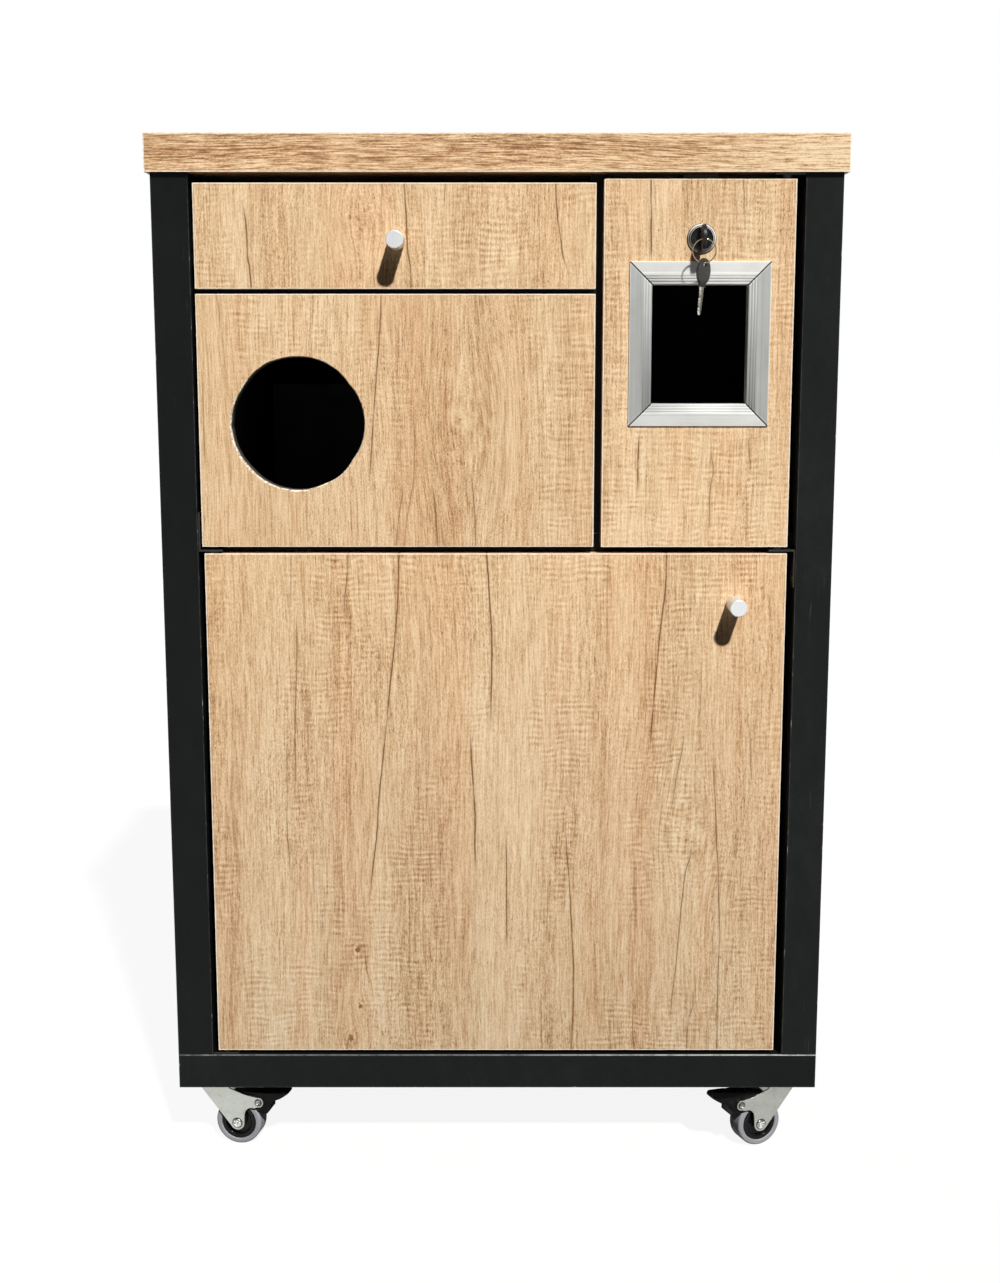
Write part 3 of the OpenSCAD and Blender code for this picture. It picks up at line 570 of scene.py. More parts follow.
# ------------------------------------------------------------------ other materials
def blackboard(name, seed, box, top_edge_glint, level):
    """Black laminate: faint pearl texture, smudges, scuffed arrises with a few pale nicks.

    level scales its lightness; seam adds a painted highlight along its top front edge.
    """
    m = Mat(name)
    point = m.shifted(seed, (1, 0.37, 1.9))
    fine = m.noise(point, 1500)
    mottle = m.noise(point, (55, 55, 28), detail=3, rough=0.6)
    smudge = m.noise(point, (7, 7, 3), detail=3, rough=0.55)
    tone = m.vary(0.5, (smudge, 0.9), (mottle, 0.5), (fine, 0.45))
    blacks = [(0.0, (12, 14, 14)), (0.5, (20, 22, 22)), (1.0, (32, 35, 34))]
    colour = m.ramp(tone, [(at, srgb(*(v * level for v in black))) for at, black in blacks])
    # fine scratches here and there
    skewed = m.vec("ADD", point, m.stretch(m.pos, (0.2, 0.2, 0.3)))
    scratch = m.mul(
        m.remap(m.noise(skewed, (900, 900, 16)), (0.70, 0.76)),
        m.remap(m.noise(point, (9, 9, 5), detail=1), (0.5, 0.62)),
    )
    colour = m.mix(m.mul(scratch, 0.35), colour, srgb(90, 92, 92))
    edge = m.edge(box)
    wear = m.noise(point, (130, 130, 95), detail=4, rough=0.65)
    arris = m.mul(
        m.remap(edge, (0.0002, 0.0013), to=(1, 0)), m.remap(wear, (0.35, 0.65), to=(0.12, 0.62))
    )
    colour = m.mix(arris, colour, srgb(74, 77, 76))
    nick = m.mul(
        m.remap(m.vary(edge, (wear, -0.004)), (-0.0002, 0.0005), to=(1, 0)),
        m.remap(m.noise(point, (75, 75, 60)), (0.60, 0.68)),
    )
    colour = m.mix(m.mul(nick, 0.75), colour, srgb(176, 172, 162))
    if top_edge_glint:
        front, top = box[0][1], box[1][2]
        line = m.mul(
            m.band(m.xyz[2], top - 0.0004, (0.0003, 0.0012)),
            m.remap(m.xyz[1], (front + 0.0004, front + 0.0016), to=(1, 0)),
        )
        # painted highlight, brighter towards the right, where the light comes from
        side = m.remap(m.xyz[0], (-0.1, 0.33), to=(0.25, 0.95))
        glint_breaks = m.remap(wear, (0.3, 0.6), to=(0.45, 1))
        colour = m.mix(m.mul(m.mul(line, side), glint_breaks), colour, srgb(205, 204, 200))
    return m.surface(
        Base_Color=colour,
        Roughness=m.vary(m.mad(fine, 0.14, 0.40), (smudge, 0.34)),
        Normal=m.bump(m.mad(mottle, 0.4, fine), strength=0.22, distance=0.0002),
        Specular_IOR_Level=0.08,
    )


def metal(name, base, seed, rough, spread=0.1, contrast=0.1, brushed=False, spots=0.0,
          grime=0.0, deep=0.0, reflection_bands=0.0, metallic=1.0):
    """Bare, plated or brushed metal, brushed along Y.

    spread and contrast vary roughness and tone; spots and grime are strengths of dark marks,
    the band strength sets painted dark reflections round turned parts, and deep is how far
    painted shade reaches into corners.
    """
    m = Mat(name)
    point = m.shifted(seed)
    if brushed:
        thin = m.noise(point, (1900, 22, 1900), detail=3, rough=0.6)
        wide = m.noise(point, (420, 5, 420))
        grain = m.add(m.mul(thin, 0.6), m.mul(wide, 0.4))
    else:
        grain = m.noise(point, 420, detail=4, rough=0.6)
    cloud = m.noise(point, 60, detail=3, rough=0.6)
    tone = m.vary(0.5, (cloud, contrast * 4), (grain, contrast * 6))
    colour = m.tones(tone, base, dark=1 - contrast * 1.6, light=1 + contrast)
    if spots:
        spot = m.remap(m.noise(point, 240, detail=3, rough=0.7), (0.62, 0.72))
        colour = m.mix(m.mul(spot, spots), colour, srgb(92, 86, 76))
    if grime:
        dirt = m.remap(m.noise(point, 90, detail=4, rough=0.65), (0.48, 0.68))
        colour = m.mix(m.mul(dirt, grime), colour, srgb(70, 66, 60))
    if reflection_bands:
        # painted dark reflections round turned parts, on faces turned away from the front
        normal = m.split(m.node("ShaderNodeNewGeometry").outputs["Normal"])
        angle = m.math("ARCTAN2", normal[2], normal[0])
        wobble = m.mad(m.noise(point, 260, detail=1), 3.0, 0.6)
        wave = m.math("SINE", m.add(m.mul(angle, 3.0), wobble))
        tilt = m.remap(m.math("ABSOLUTE", normal[1]), (0.999, 0.93))
        under = m.remap(normal[2], (0.2, 0.75), to=(1, 0.1))
        dark_reflection = m.mul(m.mul(m.remap(wave, (-0.35, 0.25), to=(1, 0)), under), tilt)
        colour = m.mix(m.mul(dark_reflection, reflection_bands), colour, srgb(40, 39, 37))
    # painted shade in corners and recesses, from ambient occlusion
    if deep:
        colour = m.mix(m.mul(m.occlusion_shade(deep), 0.8), colour, srgb(44, 42, 39))
    roughness = m.vary(rough, (cloud, spread * 2), (grain, spread * 2.4))
    return m.surface(
        Metallic=metallic,
        Base_Color=colour,
        Roughness=m.math("MAXIMUM", roughness, 0.06),
        Normal=m.bump(grain, strength=0.16 if brushed else 0.1, distance=0.00008),
    )


def plastic(name, base, seed, rough, grain, var=0.2, spec=0.4, dust=0.0):
    """Moulded plastic, rubber or painted sheet; grain is the scale of its fine texture."""
    m = Mat(name)
    point = m.shifted(seed)
    fine = m.noise(point, grain, detail=3, rough=0.6)
    cloud = m.noise(point, 40, detail=3, rough=0.6)
    tone = m.vary(0.5, (cloud, 1.0), (fine, 0.8))
    colour = m.tones(tone, base, dark=1 - var, light=1 + var)
    if dust:
        dusty = m.remap(m.noise(point, 150, detail=4, rough=0.7), (0.5, 0.72))
        colour = m.mix(m.mul(dusty, dust), colour, srgb(168, 160, 148))
    return m.surface(
        Base_Color=colour,
        Roughness=m.vary(rough, (fine, 0.2), (cloud, 0.3)),
        Normal=m.bump(fine, strength=0.15, distance=0.00015),
        Specular_IOR_Level=spec,
    )


def raw_board(name):
    """Cut particle board: pale chips at the front, near black deeper in."""
    m = Mat(name)
    where = m.stretch(m.pos, (520, 330, 520))
    chips = m.node("ShaderNodeTexVoronoi", {"Vector": where, "Scale": 1.0}).outputs[1]
    grain = m.noise(m.pos, 300, detail=4, rough=0.65)
    tone = m.vary(m.mul(m.split(chips)[0], 0.8), (grain, 1.1))
    stops = [
        (0.0, srgb(176, 150, 120)),
        (0.35, srgb(232, 216, 192)),
        (0.7, srgb(250, 240, 224)),
        (1.0, srgb(255, 252, 244)),
    ]
    depth = m.vary(m.sub(m.xyz[1], FRONT_Y), (grain, 0.0018))
    shade = m.remap(depth, (0.0014, 0.0032), to=(0, 0.93))
    return m.surface(
        Base_Color=m.mix(shade, m.ramp(tone, stops), srgb(26, 22, 18)),
        Roughness=0.8,
        Normal=m.bump(grain, strength=0.5, distance=0.0004),
        Specular_IOR_Level=0.1,
    )


# ------------------------------------------------------------------ boards
# Marks on each board, all in mm. lines: strength and the (x, z) points of a dark grain crack.
# dots: (x, z). knots: x, z and the reach across and along the grain.
GRAIN = {
    "drawer_front": dict(
        tone=0.02,
        lines=[
            (0.8, [(-257.1, 1025.5), (-255.1, 1007), (-253.6, 991), (-253.7, 975), (-251.7, 957),
                   (-250.3, 936)]),
            (0.35, [(-249.7, 1041.7), (-249.5, 1025.5)]),
            (0.35, [(-115.7, 1038.6), (-117.1, 1015), (-116.1, 1001.8)]),
            (0.35, [(-124.1, 975.3), (-125.4, 956.7), (-124.5, 940.7)]),
            (0.8, [(-94.1, 1043), (-92.9, 1025.5), (-91.7, 1001.8), (-90.9, 978), (-88.1, 956.7),
                   (-87.9, 936)]),
            (0.3, [(-140, 1038.6), (-143.1, 1012.3)]),
            (0.4, [(-51.7, 1038.6), (-53.1, 1025.5), (-49.9, 1015)]),
            (0.3, [(-37.5, 1012.3), (-38.6, 996.5)]),
            (0.75, [(59.4, 1036), (60.6, 1015), (62, 1001.8), (64.6, 985.9), (66.8, 970),
                    (69.6, 962), (72.9, 951.9)]),
            (0.6, [(62.6, 994), (64.8, 980)]),
            (0.6, [(70.6, 962), (72.9, 950)]),
        ],
        dots=[(-148, 1007), (-141.3, 1005.7), (-134.4, 1015), (-123.7, 1004.4), (-139, 996)],
        knots=[(-137, 1004, 26, 34)],
    ),
    "round_drop_panel": dict(
        tone=0.02,
        lines=[
            (0.7, [(-118, 933), (-119.4, 906), (-121.1, 881.6), (-123.3, 857), (-125.9, 827),
                   (-128.1, 800), (-130.1, 772), (-131.8, 750), (-133.2, 731)]),
            (0.5, [(-96.3, 744.8), (-99.3, 722.6), (-103.7, 694.7), (-105.3, 672)]),
            (0.4, [(-85, 832.8), (-86, 813.6), (-85.4, 786), (-86.9, 742), (-90.4, 722.6),
                   (-94.5, 697.5), (-96.9, 672)]),
            (0.65, [(-67.1, 742), (-65.3, 722.6), (-63.2, 697.5), (-62.3, 672)]),
            (0.5, [(-27.3, 758.6), (-25.5, 736.5), (-23.6, 708.6), (-22.5, 672)]),
            (0.3, [(-75.8, 884.3), (-77.1, 851.8), (-75.6, 832.8)]),
            (0.35, [(-285.8, 927.3), (-283.6, 905.9), (-284.6, 889.7)]),
            (0.45, [(-302.8, 857.2), (-303.2, 827.3), (-303, 786.2), (-302.8, 753.1)]),
            (0.3, [(-205.2, 930), (-207.8, 895)]),
            (0.25, [(-53.9, 879), (-54.6, 841)]),
            (0.3, [(81.8, 708.6), (84.9, 672)]),
        ],
        dots=[(44.4, 926.8), (27.5, 825.9), (-221.4, 873), (-5.4, 811), (-37.7, 805.4)],
        knots=[(-30, 800, 42, 90)],
        foot_shade=0.12,
    ),
    "lower_door": dict(
        tone=-0.01,
        lines=[
            (0.6, [(-155.7, 668), (-157.4, 642), (-160.2, 617), (-161.3, 589)]),
            (0.8, [(-102.7, 668), (-104.2, 621), (-106.9, 586), (-109.7, 557), (-113.1, 529),
                   (-116.3, 497), (-120.2, 461), (-123.4, 432), (-126.6, 402), (-129.1, 366),
                   (-132.7, 336), (-136.3, 307), (-139.6, 273)]),
            (0.9, [(-11.2, 668), (-9.2, 638.5), (-7.1, 603), (-5.7, 578.6), (-5.8, 539.6),
                   (-6.5, 511), (-6.5, 471)]),
            (0.85, [(-28.7, 482), (-27.7, 450), (-25.7, 417), (-23.7, 380.5), (-24.1, 347),
                    (-21.7, 316)]),
            (0.6, [(-210.8, 610), (-211.5, 557), (-214, 504), (-215.4, 468), (-215.4, 432),
                   (-216.9, 395)]),
            (0.35, [(-215.4, 659), (-217.7, 596)]),
            (0.55, [(-225.2, 471), (-224.3, 446), (-224.4, 410), (-225.5, 373), (-223.8, 336),
                    (-223.3, 307)]),
            (0.3, [(-250.6, 410), (-250.9, 366)]),
            (0.4, [(-196.6, 358), (-198.7, 318), (-199, 284)]),
            (0.6, [(-143.9, 243), (-142.5, 213), (-139.1, 198), (-136.3, 190)]),
            (0.35, [(-94.3, 321), (-95.1, 265), (-96.4, 198)]),
            (0.7, [(-152.1, 146), (-160.6, 138.6), (-165.2, 116)]),
            (0.85, [(177.2, 668), (176.7, 635), (173.7, 603), (170.7, 571.5), (167.8, 532),
                    (165.5, 504), (163.8, 475), (162.1, 446)]),
            (0.4, [(171, 439), (171.3, 395)]),
            (0.5, [(200.3, 482), (196.6, 453), (192.4, 431.5), (188.3, 402), (184.4, 377)]),
            (0.65, [(229.5, 468), (231, 431.5), (233.9, 395), (235.7, 358), (238.3, 321),
                    (239.8, 284), (241.3, 247), (240.7, 209), (241.1, 116)]),
            (0.6, [(208.1, 366), (208.5, 347), (203.2, 321), (200.2, 292), (197.8, 262),
                   (195.8, 232), (192.8, 198), (189.7, 167), (188.3, 144)]),
            (0.4, [(269.7, 482), (270.3, 446), (273.3, 410)]),
            (0.75, [(73.4, 377), (75.1, 340), (78.1, 306.5), (79.8, 273), (81.8, 239),
                    (83.2, 198), (82.8, 159.5), (80.9, 116)]),
            (0.7, [(9.4, 366), (10.1, 321), (10.1, 265), (10.9, 228)]),
            (0.6, [(213.5, 194), (213.9, 171), (209.2, 152), (207.6, 116)]),
            (0.5, [(149.8, 171), (148.2, 148), (150.8, 116)]),
            (0.35, [(50.3, 539.5), (51.6, 468)]),
            (0.3, [(78, 482), (79.3, 395)]),
        ],
        dots=[
            (-91.9, 306.6), (-10.4, 218.5), (-278.1, 446), (52.7, 543.8), (52.1, 516.3),
            (76.2, 596.3), (243.6, 485.8), (208.7, 354.6), (242.5, 224.8),
        ],
        knots=[
            (-152, 232.8, 13, 17), (-149.2, 169.2, 12, 15), (-160, 133, 14, 18),
            (205, 365, 40, 70),
        ],
        foot_shade=0.75,
    ),
    "lockable_door": dict(
        tone=0.05,
        lines=[
            (0.9, [(155, 1048), (155.8, 1025), (156.2, 996), (156.7, 960)]),
            (0.85, [(146.6, 796), (146.1, 772.5), (145.9, 752), (145.7, 726)]),
            (0.6, [(248.3, 1048), (249.8, 1025), (250.8, 1005.5), (251.6, 990.8)]),
            (0.5, [(220.4, 790.4), (221.9, 767.4), (224, 752), (222.9, 744), (220.8, 721),
                   (220.9, 692.5), (220, 682)]),
            (0.5, [(257.9, 793), (260.9, 772.5), (262.3, 757), (263.7, 744)]),
            (0.4, [(255.5, 731.4), (255.4, 703)]),
            (0.3, [(191.6, 1044.6), (193.6, 1005.5)]),
            (0.3, [(172.2, 1005.5), (170.8, 968.6)]),
            (0.3, [(127.6, 944), (126.8, 906.6), (126.9, 831)]),
            (0.3, [(193.5, 729), (195.6, 682)]),
        ],
        dots=[(163.8, 995), (154.7, 747)],
    ),
}
OAK = {
    node: oak("oak_" + node, 3.1 + 5.7 * k, "Z", corners(node), **marks)
    for k, (node, marks) in enumerate(GRAIN.items())
}
top_oak = oak("oak_top_board", 41.3, "X", corners("top_board"), tone=-0.03, gain=2.5, waves=0.0)

for node in ("drawer_front", "lower_door", "lockable_door"):
    dress(node, OAK[node], bevel=0.0005)
dress("top_board", top_oak, bevel=0.0007)

# Black boards: node, lightness, bevel.
BLACK_BOARDS = [
    ("base_board", 1.05, 0.0006),
    ("left_side_panel", 0.9, 0.0006),
    ("right_side_panel", 1.28, 0.0006),
    ("back_panel", 0.9, 0.0003),
    ("mid_shelf", 0.9, 0.0003),
    ("divider_panel", 0.9, 0.0003),
    ("drawer_shelf", 0.9, 0.0003),
]
for k, (node, level, bevel) in enumerate(BLACK_BOARDS):
    top_edge_glint = node == "base_board"
    black = blackboard("black_" + node, 2.3 + 3.9 * k, corners(node), top_edge_glint=top_edge_glint, level=level)
    dress(node, black, bevel)


def rim_profile(angle, front, back):
    """Points of the hole's cutter at one angle, from before the panel to behind it."""
    degrees = math.degrees(angle)
    cos, sin = math.cos(angle), math.sin(angle)

    def rough(scale, height):
        return noise.noise(Vector((cos * scale, sin * scale, height)))

    radius = HOLE_RADIUS + 0.0003
    for centre, width, depth in HOLE_FLATS:
        gap = (degrees - centre + 180) % 360 - 180
        radius -= FLAT_DEPTH_MM * depth / 1000 * math.exp(-((gap / width) ** 2))
    radius += 0.00022 * rough(9, 3.3)
    radius += 0.0001 * rough(34, 8.1)
    # broken front edge, widest at the lower left
    chip = 0.0009 + 0.0007 * max(0.0, rough(6, 5.0) + 0.15)
    chip += 0.0009 * max(0.0, rough(26, 1.0) - 0.18)
    chip += 0.0012 * max(0.0, math.cos(math.radians(degrees - 212))) ** 1.5
    profile = [
        (radius + chip + 0.0005, front - 0.002),
        (radius + chip, front),
        (radius, front + 0.0004 + chip * 0.9),
        (radius, back + 0.002),
    ]
    return [(HOLE_X + r * cos, y, HOLE_Z + r * sin) for r, y in profile]


def hole_cutter(front, back):
    bm = bmesh.new()
    profiles = [
        rim_profile(2 * math.pi * i / HOLE_STEPS, front, back) for i in range(HOLE_STEPS)
    ]
    rings = [[bm.verts.new(point) for point in ring] for ring in zip(*profiles)]
    bridge(bm, rings)
    bm.faces.new(list(reversed(rings[0])))
    bm.faces.new(rings[-1])
    bmesh.ops.recalc_face_normals(bm, faces=bm.faces)
    return to_mesh(bm, "cut")


def hand_cut_panel():
    """The fixed panel; its hole has an uneven rim, chipped along its front edge."""
    node = "round_drop_panel"
    lo, hi = corners(node)
    bm = bmesh.new()
    bmesh.ops.create_cube(bm, size=1.0)
    for v in bm.verts:
        v.co = Vector([(a if c < 0 else b) for c, a, b in zip(v.co, lo, hi)])
    soften(bm, 0.0005)
    board = to_mesh(bm, node + "_piece")
    cut = hole_cutter(lo[1], hi[1])
    mats = [OAK[node], raw_board("raw_board_edge")]
    for mesh in (board, cut):
        for mat in mats:
            mesh.materials.append(mat.material)
    for face in cut.polygons:
        face.material_index = 1
    tool = bpy.data.objects.new("tool", cut)
    work = bpy.data.objects.new("work", board)
    SCENE.collection.objects.link(tool)
    SCENE.collection.objects.link(work)
    boolean = work.modifiers.new("cut", "BOOLEAN")
    boolean.operation = "DIFFERENCE"
    boolean.object = tool
    boolean.solver = "EXACT"
    bpy.context.view_layer.update()
    evaluated = work.evaluated_get(bpy.context.evaluated_depsgraph_get())
    mesh = bpy.data.meshes.new_from_object(evaluated)
    bpy.data.objects.remove(work)
    bpy.data.objects.remove(tool)
    mesh.name = node + "_piece"
    indices = [face.material_index for face in mesh.polygons]
    smooth(mesh)
    mesh.set_sharp_from_angle(angle=SHARP_ANGLE)
    piece = link(node + "_piece", mesh, mats, "case")
    for face, index in zip(mesh.polygons, indices):
        face.material_index = min(index, 1)
    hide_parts(node)


hand_cut_panel()

# ------------------------------------------------------------------ inside
sheet = plastic("chute_sheet", (20, 20, 21), 1.1, rough=0.55, grain=1400, var=0.25, spec=0.2)
bin_plastic = plastic(
    "bin_plastic", (44, 46, 49), 2.2, rough=0.5, grain=1100, var=0.16, spec=0.3, dust=0.05
)
drawer_grey = plastic(
    "drawer_grey", (92, 94, 98), 3.3, rough=0.5, grain=1300, var=0.1, spec=0.3, dust=0.08
)
catch = plastic("catch_plastic", (30, 30, 31), 4.4, rough=0.45, grain=1500)
zinc = metal("zinc_steel", (196, 198, 192), 5.5, rough=0.34, spots=0.12, contrast=0.07, grime=0.1)
screw = metal("screw_steel", (186, 186, 180), 6.6, rough=0.3, spots=0.2, contrast=0.08, grime=0.12)
runner = metal(
    "runner_zinc", (190, 194, 196), 7.7, brushed=True, rough=0.3, spread=0.08, contrast=0.06,
    grime=0.05,
)

dress("drop_chute", sheet, bevel=0.0006)
dress("collection_bin", bin_plastic, bevel=0.0009)
dress("drawer_box", drawer_grey, bevel=0.0005)
dress("drawer_bottom", drawer_grey, bevel=0.0003)
dress("magnet_catch", catch, bevel=0.0007)
for node in (
    "runner_outer_members", "runner_inner_members", "left_runner_middle", "right_runner_middle"
):
    dress(node, runner, bevel=0.0003)
dull_zinc = metal("bracket_zinc", (58, 57, 54), 25.5, rough=0.46, spots=0.2, grime=0.3)
for node in ("door_pivot_brackets", "lock_keeper", "strike_plate"):
    dress(node, dull_zinc, bevel=0.0003)
for node in (
    "carcass_screws", "bracket_screws", "castor_screws", "drawer_knob_screw", "lower_knob_screw"
):
    dress(node, screw, bevel=0.0002)

# ------------------------------------------------------------------ knobs, frame
knob = metal(
    "knob_metal", (226, 227, 229), 8.1, rough=0.34, spread=0.07, contrast=0.045, deep=0.0006,
    metallic=0.4,
)
for node in ("drawer_knob", "lower_door_knob"):
    dress(node, knob, bevel=0.00025)

# Grooves of the frame's rails: distance in from the outside, darkness of the painted shade in
# them.
CROSS_GROOVES = [(0.0146, 0.16), (0.0172, 0.2), (0.0200, 0.14), (0.0116, 0.10)]
SIDE_GROOVES = [(0.0082, 0.16), (0.0146, 0.1), (0.0185, 0.08)]
SLOPE_SPAN = (0.0095, 0.0115)  # distance in from the outside where the inner slope begins


def frame_metal(name, base, seed, cross):
    """Anodised extrusion: satin, with painted shade in its grooves, painted highlights along its
    outer edge and beside each mitre, and a dark line along each mitre.

    cross is true for the upper and lower rails, false for the side rails.
    """
    m = Mat(name)
    lo, hi = corners("frame_cross_rails")
    middle_x, middle_z = (lo[0] + hi[0]) / 2, (lo[2] + hi[2]) / 2
    past_x = m.sub(m.math("ABSOLUTE", m.sub(m.xyz[0], middle_x)), (hi[0] - lo[0]) / 2)
    past_z = m.sub(m.math("ABSOLUTE", m.sub(m.xyz[2], middle_z)), (hi[2] - lo[2]) / 2)
    point = m.shifted(seed)
    scale = (16, 1500, 1500) if cross else (1500, 1500, 16)
    grain = m.noise(point, scale, detail=3, rough=0.6)
    cloud = m.noise(point, 30, detail=3, rough=0.6)
    tone = m.vary(0.5, (cloud, 0.7), (grain, 0.7))
    colour = m.tones(tone, base, dark=0.88, light=1.07)
    inset = m.mul(m.math("MAXIMUM", past_x, past_z), -1.0)
    # painted shade in the grooves
    grooves = m.highest([
        m.mul(m.band(inset, at, (0.00015, 0.0006)), darkness)
        for at, darkness in (CROSS_GROOVES if cross else SIDE_GROOVES)
    ])
    colour = m.mix(grooves, colour, srgb(70, 71, 70))
    # painted highlight along the frame's outer edge
    rim = m.mul(m.remap(inset, (0.0001, 0.0009), to=(1, 0)), 0.5)
    colour = m.mix(rim, colour, srgb(248, 248, 246))
    # painted light and shade: each rail and slope is given its own share of the light
    if cross:
        upper = m.remap(m.xyz[2], (middle_z - 0.01, middle_z + 0.01))
        flat = m.mix(upper, (0.9, 0.905, 0.91, 1), (0.92, 0.92, 0.925, 1))
        slope = m.mix(upper, (0.8, 0.805, 0.81, 1), (1.22, 1.22, 1.225, 1))
        light = m.mix(m.remap(inset, SLOPE_SPAN), flat, slope)
        colour = m.mix(1.0, colour, light, "MULTIPLY")
    else:
        sloping = m.mul(m.remap(inset, SLOPE_SPAN), 0.8)
        right = m.remap(m.xyz[0], (middle_x - 0.01, middle_x + 0.01))
        light = m.mix(right, (0.9, 0.9, 0.91, 1), grey(1.12))
        colour = m.mix(sloping, colour, m.mix(1.0, colour, light, "MULTIPLY"))
    # dark mitre line, with a painted highlight along either side of it
    mitre = m.band(past_x, past_z, (0.0006, 0.0013))
    colour = m.mix(m.mul(mitre, 0.97), colour, srgb(18, 18, 17))
    from_mitre = m.math("ABSOLUTE", m.sub(past_x, past_z))
    pale = m.band(from_mitre, 0.0019, (0.0001, 0.0006))
    colour = m.mix(m.mul(pale, 0.35), colour, srgb(240, 240, 238))
    return m.surface(
        Base_Color=colour,
        Metallic=0.25,
        Roughness=m.vary(0.6, (grain, 0.2)),
        Normal=m.bump(grain, strength=0.12, distance=0.00006),
        Specular_IOR_Level=0.3,
    )


# Painted light and shade: the upper and lower rails are lighter and the side rails darker, for the
# sheen that rails brushed across the light catch and upright ones miss.
lit_cross_metal = frame_metal("frame_aluminium_cross_lit", (218, 218, 215), 9.1, cross=True)
shaded_side_metal = frame_metal("frame_aluminium_side_shaded", (166, 167, 165), 10.3, cross=False)
dress("frame_cross_rails", lit_cross_metal, bevel=0.0)
dress("frame_side_rails", shaded_side_metal, bevel=0.0)

# ------------------------------------------------------------------ lock and keys
chrome = metal(
    "lock_chrome", (232, 230, 226), 11.7, rough=0.12, spread=0.05, contrast=0.04, deep=0.0012,
    reflection_bands=0.45, metallic=0.4,
)
plug_metal = metal(
    "lock_dark", (62, 61, 59), 12.9, rough=0.2, spread=0.12, contrast=0.3, deep=0.0015, reflection_bands=0.6
)
steel = metal(
    "key_steel", (190, 190, 184), 13.3, rough=0.3, spread=0.09, contrast=0.09, spots=0.1
)
wire = metal("ring_steel", (150, 142, 126), 23.3, rough=0.24, contrast=0.12, deep=0.0006)
spare_bow = plastic("key_plastic", (43, 43, 42), 14.1, rough=0.36, grain=1700)
door_bow = plastic("key_plastic_edge", (22, 22, 23), 14.7, rough=0.4, grain=1700, spec=0.25)

# Painted reflections on the lock's turned steps: radius in mm, brightness.
LOCK_GLINT_RINGS = [
    (10.6, 0.08), (11.4, 0.7), (12.0, 0.8), (12.3, 0.04),
    (12.8, 0.05), (13.2, 1.0), (14.2, 1.0), (14.6, 0.05),
]
RAMP_PER_MM = 0.05  # the ramp spans 20 mm


def lock_ring_glints(m):
    """Painted reflections in concentric rings round the lock, as its turned and polished steps
    show them.
    """
    xyz = m.split(m.position())
    dx, dz = m.sub(xyz[0], LOCK_X), m.sub(xyz[2], LOCK_Z)
    radius = m.math("SQRT", m.add(m.mul(dx, dx), m.mul(dz, dz)))
    # painted light and shade: the steps are lighter at the upper right, where the light comes
    # from, and darker at the lower left
    turn = m.remap(m.add(m.mul(dx, 0.45), dz), (-0.009, 0.013))
    stops = [(mm * RAMP_PER_MM, grey(tone)) for mm, tone in LOCK_GLINT_RINGS]
    tone = m.ramp(m.mul(radius, 1000 * RAMP_PER_MM), stops)
    old = m.colour
    light = m.mix(turn, (0.3, 0.25, 0.21, 1), grey(1.45))
    m.recolour(m.mix(1.0, old, m.mix(1.0, tone, light, "MULTIPLY"), "MULTIPLY"))


lock_ring_glints(chrome)
dress("lock_housing", chrome, bevel=0.0002)
dress("lock_nut", screw, bevel=0.0004)
dress("lock_plug", plug_metal, bevel=0.0002)
dress("lock_cam", zinc, bevel=0.0003)
dress("cam_screw", screw, bevel=0.0002)


def two_tone_key(node, bow, origin, axis, reach, bevel, shape=None):
    """Key whose moulded bow ends at a given reach from its origin along its axis."""
    key = dress(node, bow, bevel, shape)
    key.data.materials.append(steel.material)
    for face in key.data.polygons:
        face.material_index = 1 if (face.center - origin).dot(axis) > reach else 0


def split_ring(node):
    """Two turns of round wire lying against each other."""
    lo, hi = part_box(node)
    centre = (Vector(lo) + Vector(hi)) / 2
    radius = (hi[2] - lo[2]) / 2 - RING_INSET
    bm = bmesh.new()
    count = int(RING_TURNS * RING_STEPS)
    rings = []
    for i in range(count + 1):
        angle = 2 * math.pi * i / RING_STEPS + RING_START
        shift = (i / count - 0.5) * RING_SHIFT
        out = Vector((math.cos(angle), 0, math.sin(angle)))
        middle = centre + out * radius + Vector((0, shift, 0))
        thick = RING_WIRE * (0.35 if i in (0, count) else 1.0)
        ring = []
        for k in range(RING_SIDES):
            turn = 2 * math.pi * k / RING_SIDES
            side = Vector((0, thick * math.sin(turn), 0))
            ring.append(bm.verts.new(middle + out * thick * math.cos(turn) + side))
        rings.append(ring)
    bridge(bm, rings)
    bm.faces.new(rings[0])
    bm.faces.new(rings[-1])
    bmesh.ops.recalc_face_normals(bm, faces=bm.faces)
    mesh = to_mesh(bm, node + "_piece")
    smooth(mesh)
    obj = link(node + "_piece", mesh, [wire], BODY[node], weighted=False)
    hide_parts(node)


down = Vector((-math.sin(SPARE_KEY_LEAN), 0, -math.cos(SPARE_KEY_LEAN)))
across = Matrix.Rotation(SPARE_KEY_LEAN, 3, "Y") @ Vector(
    (math.cos(SPARE_KEY_YAW), math.sin(SPARE_KEY_YAW), 0)
)


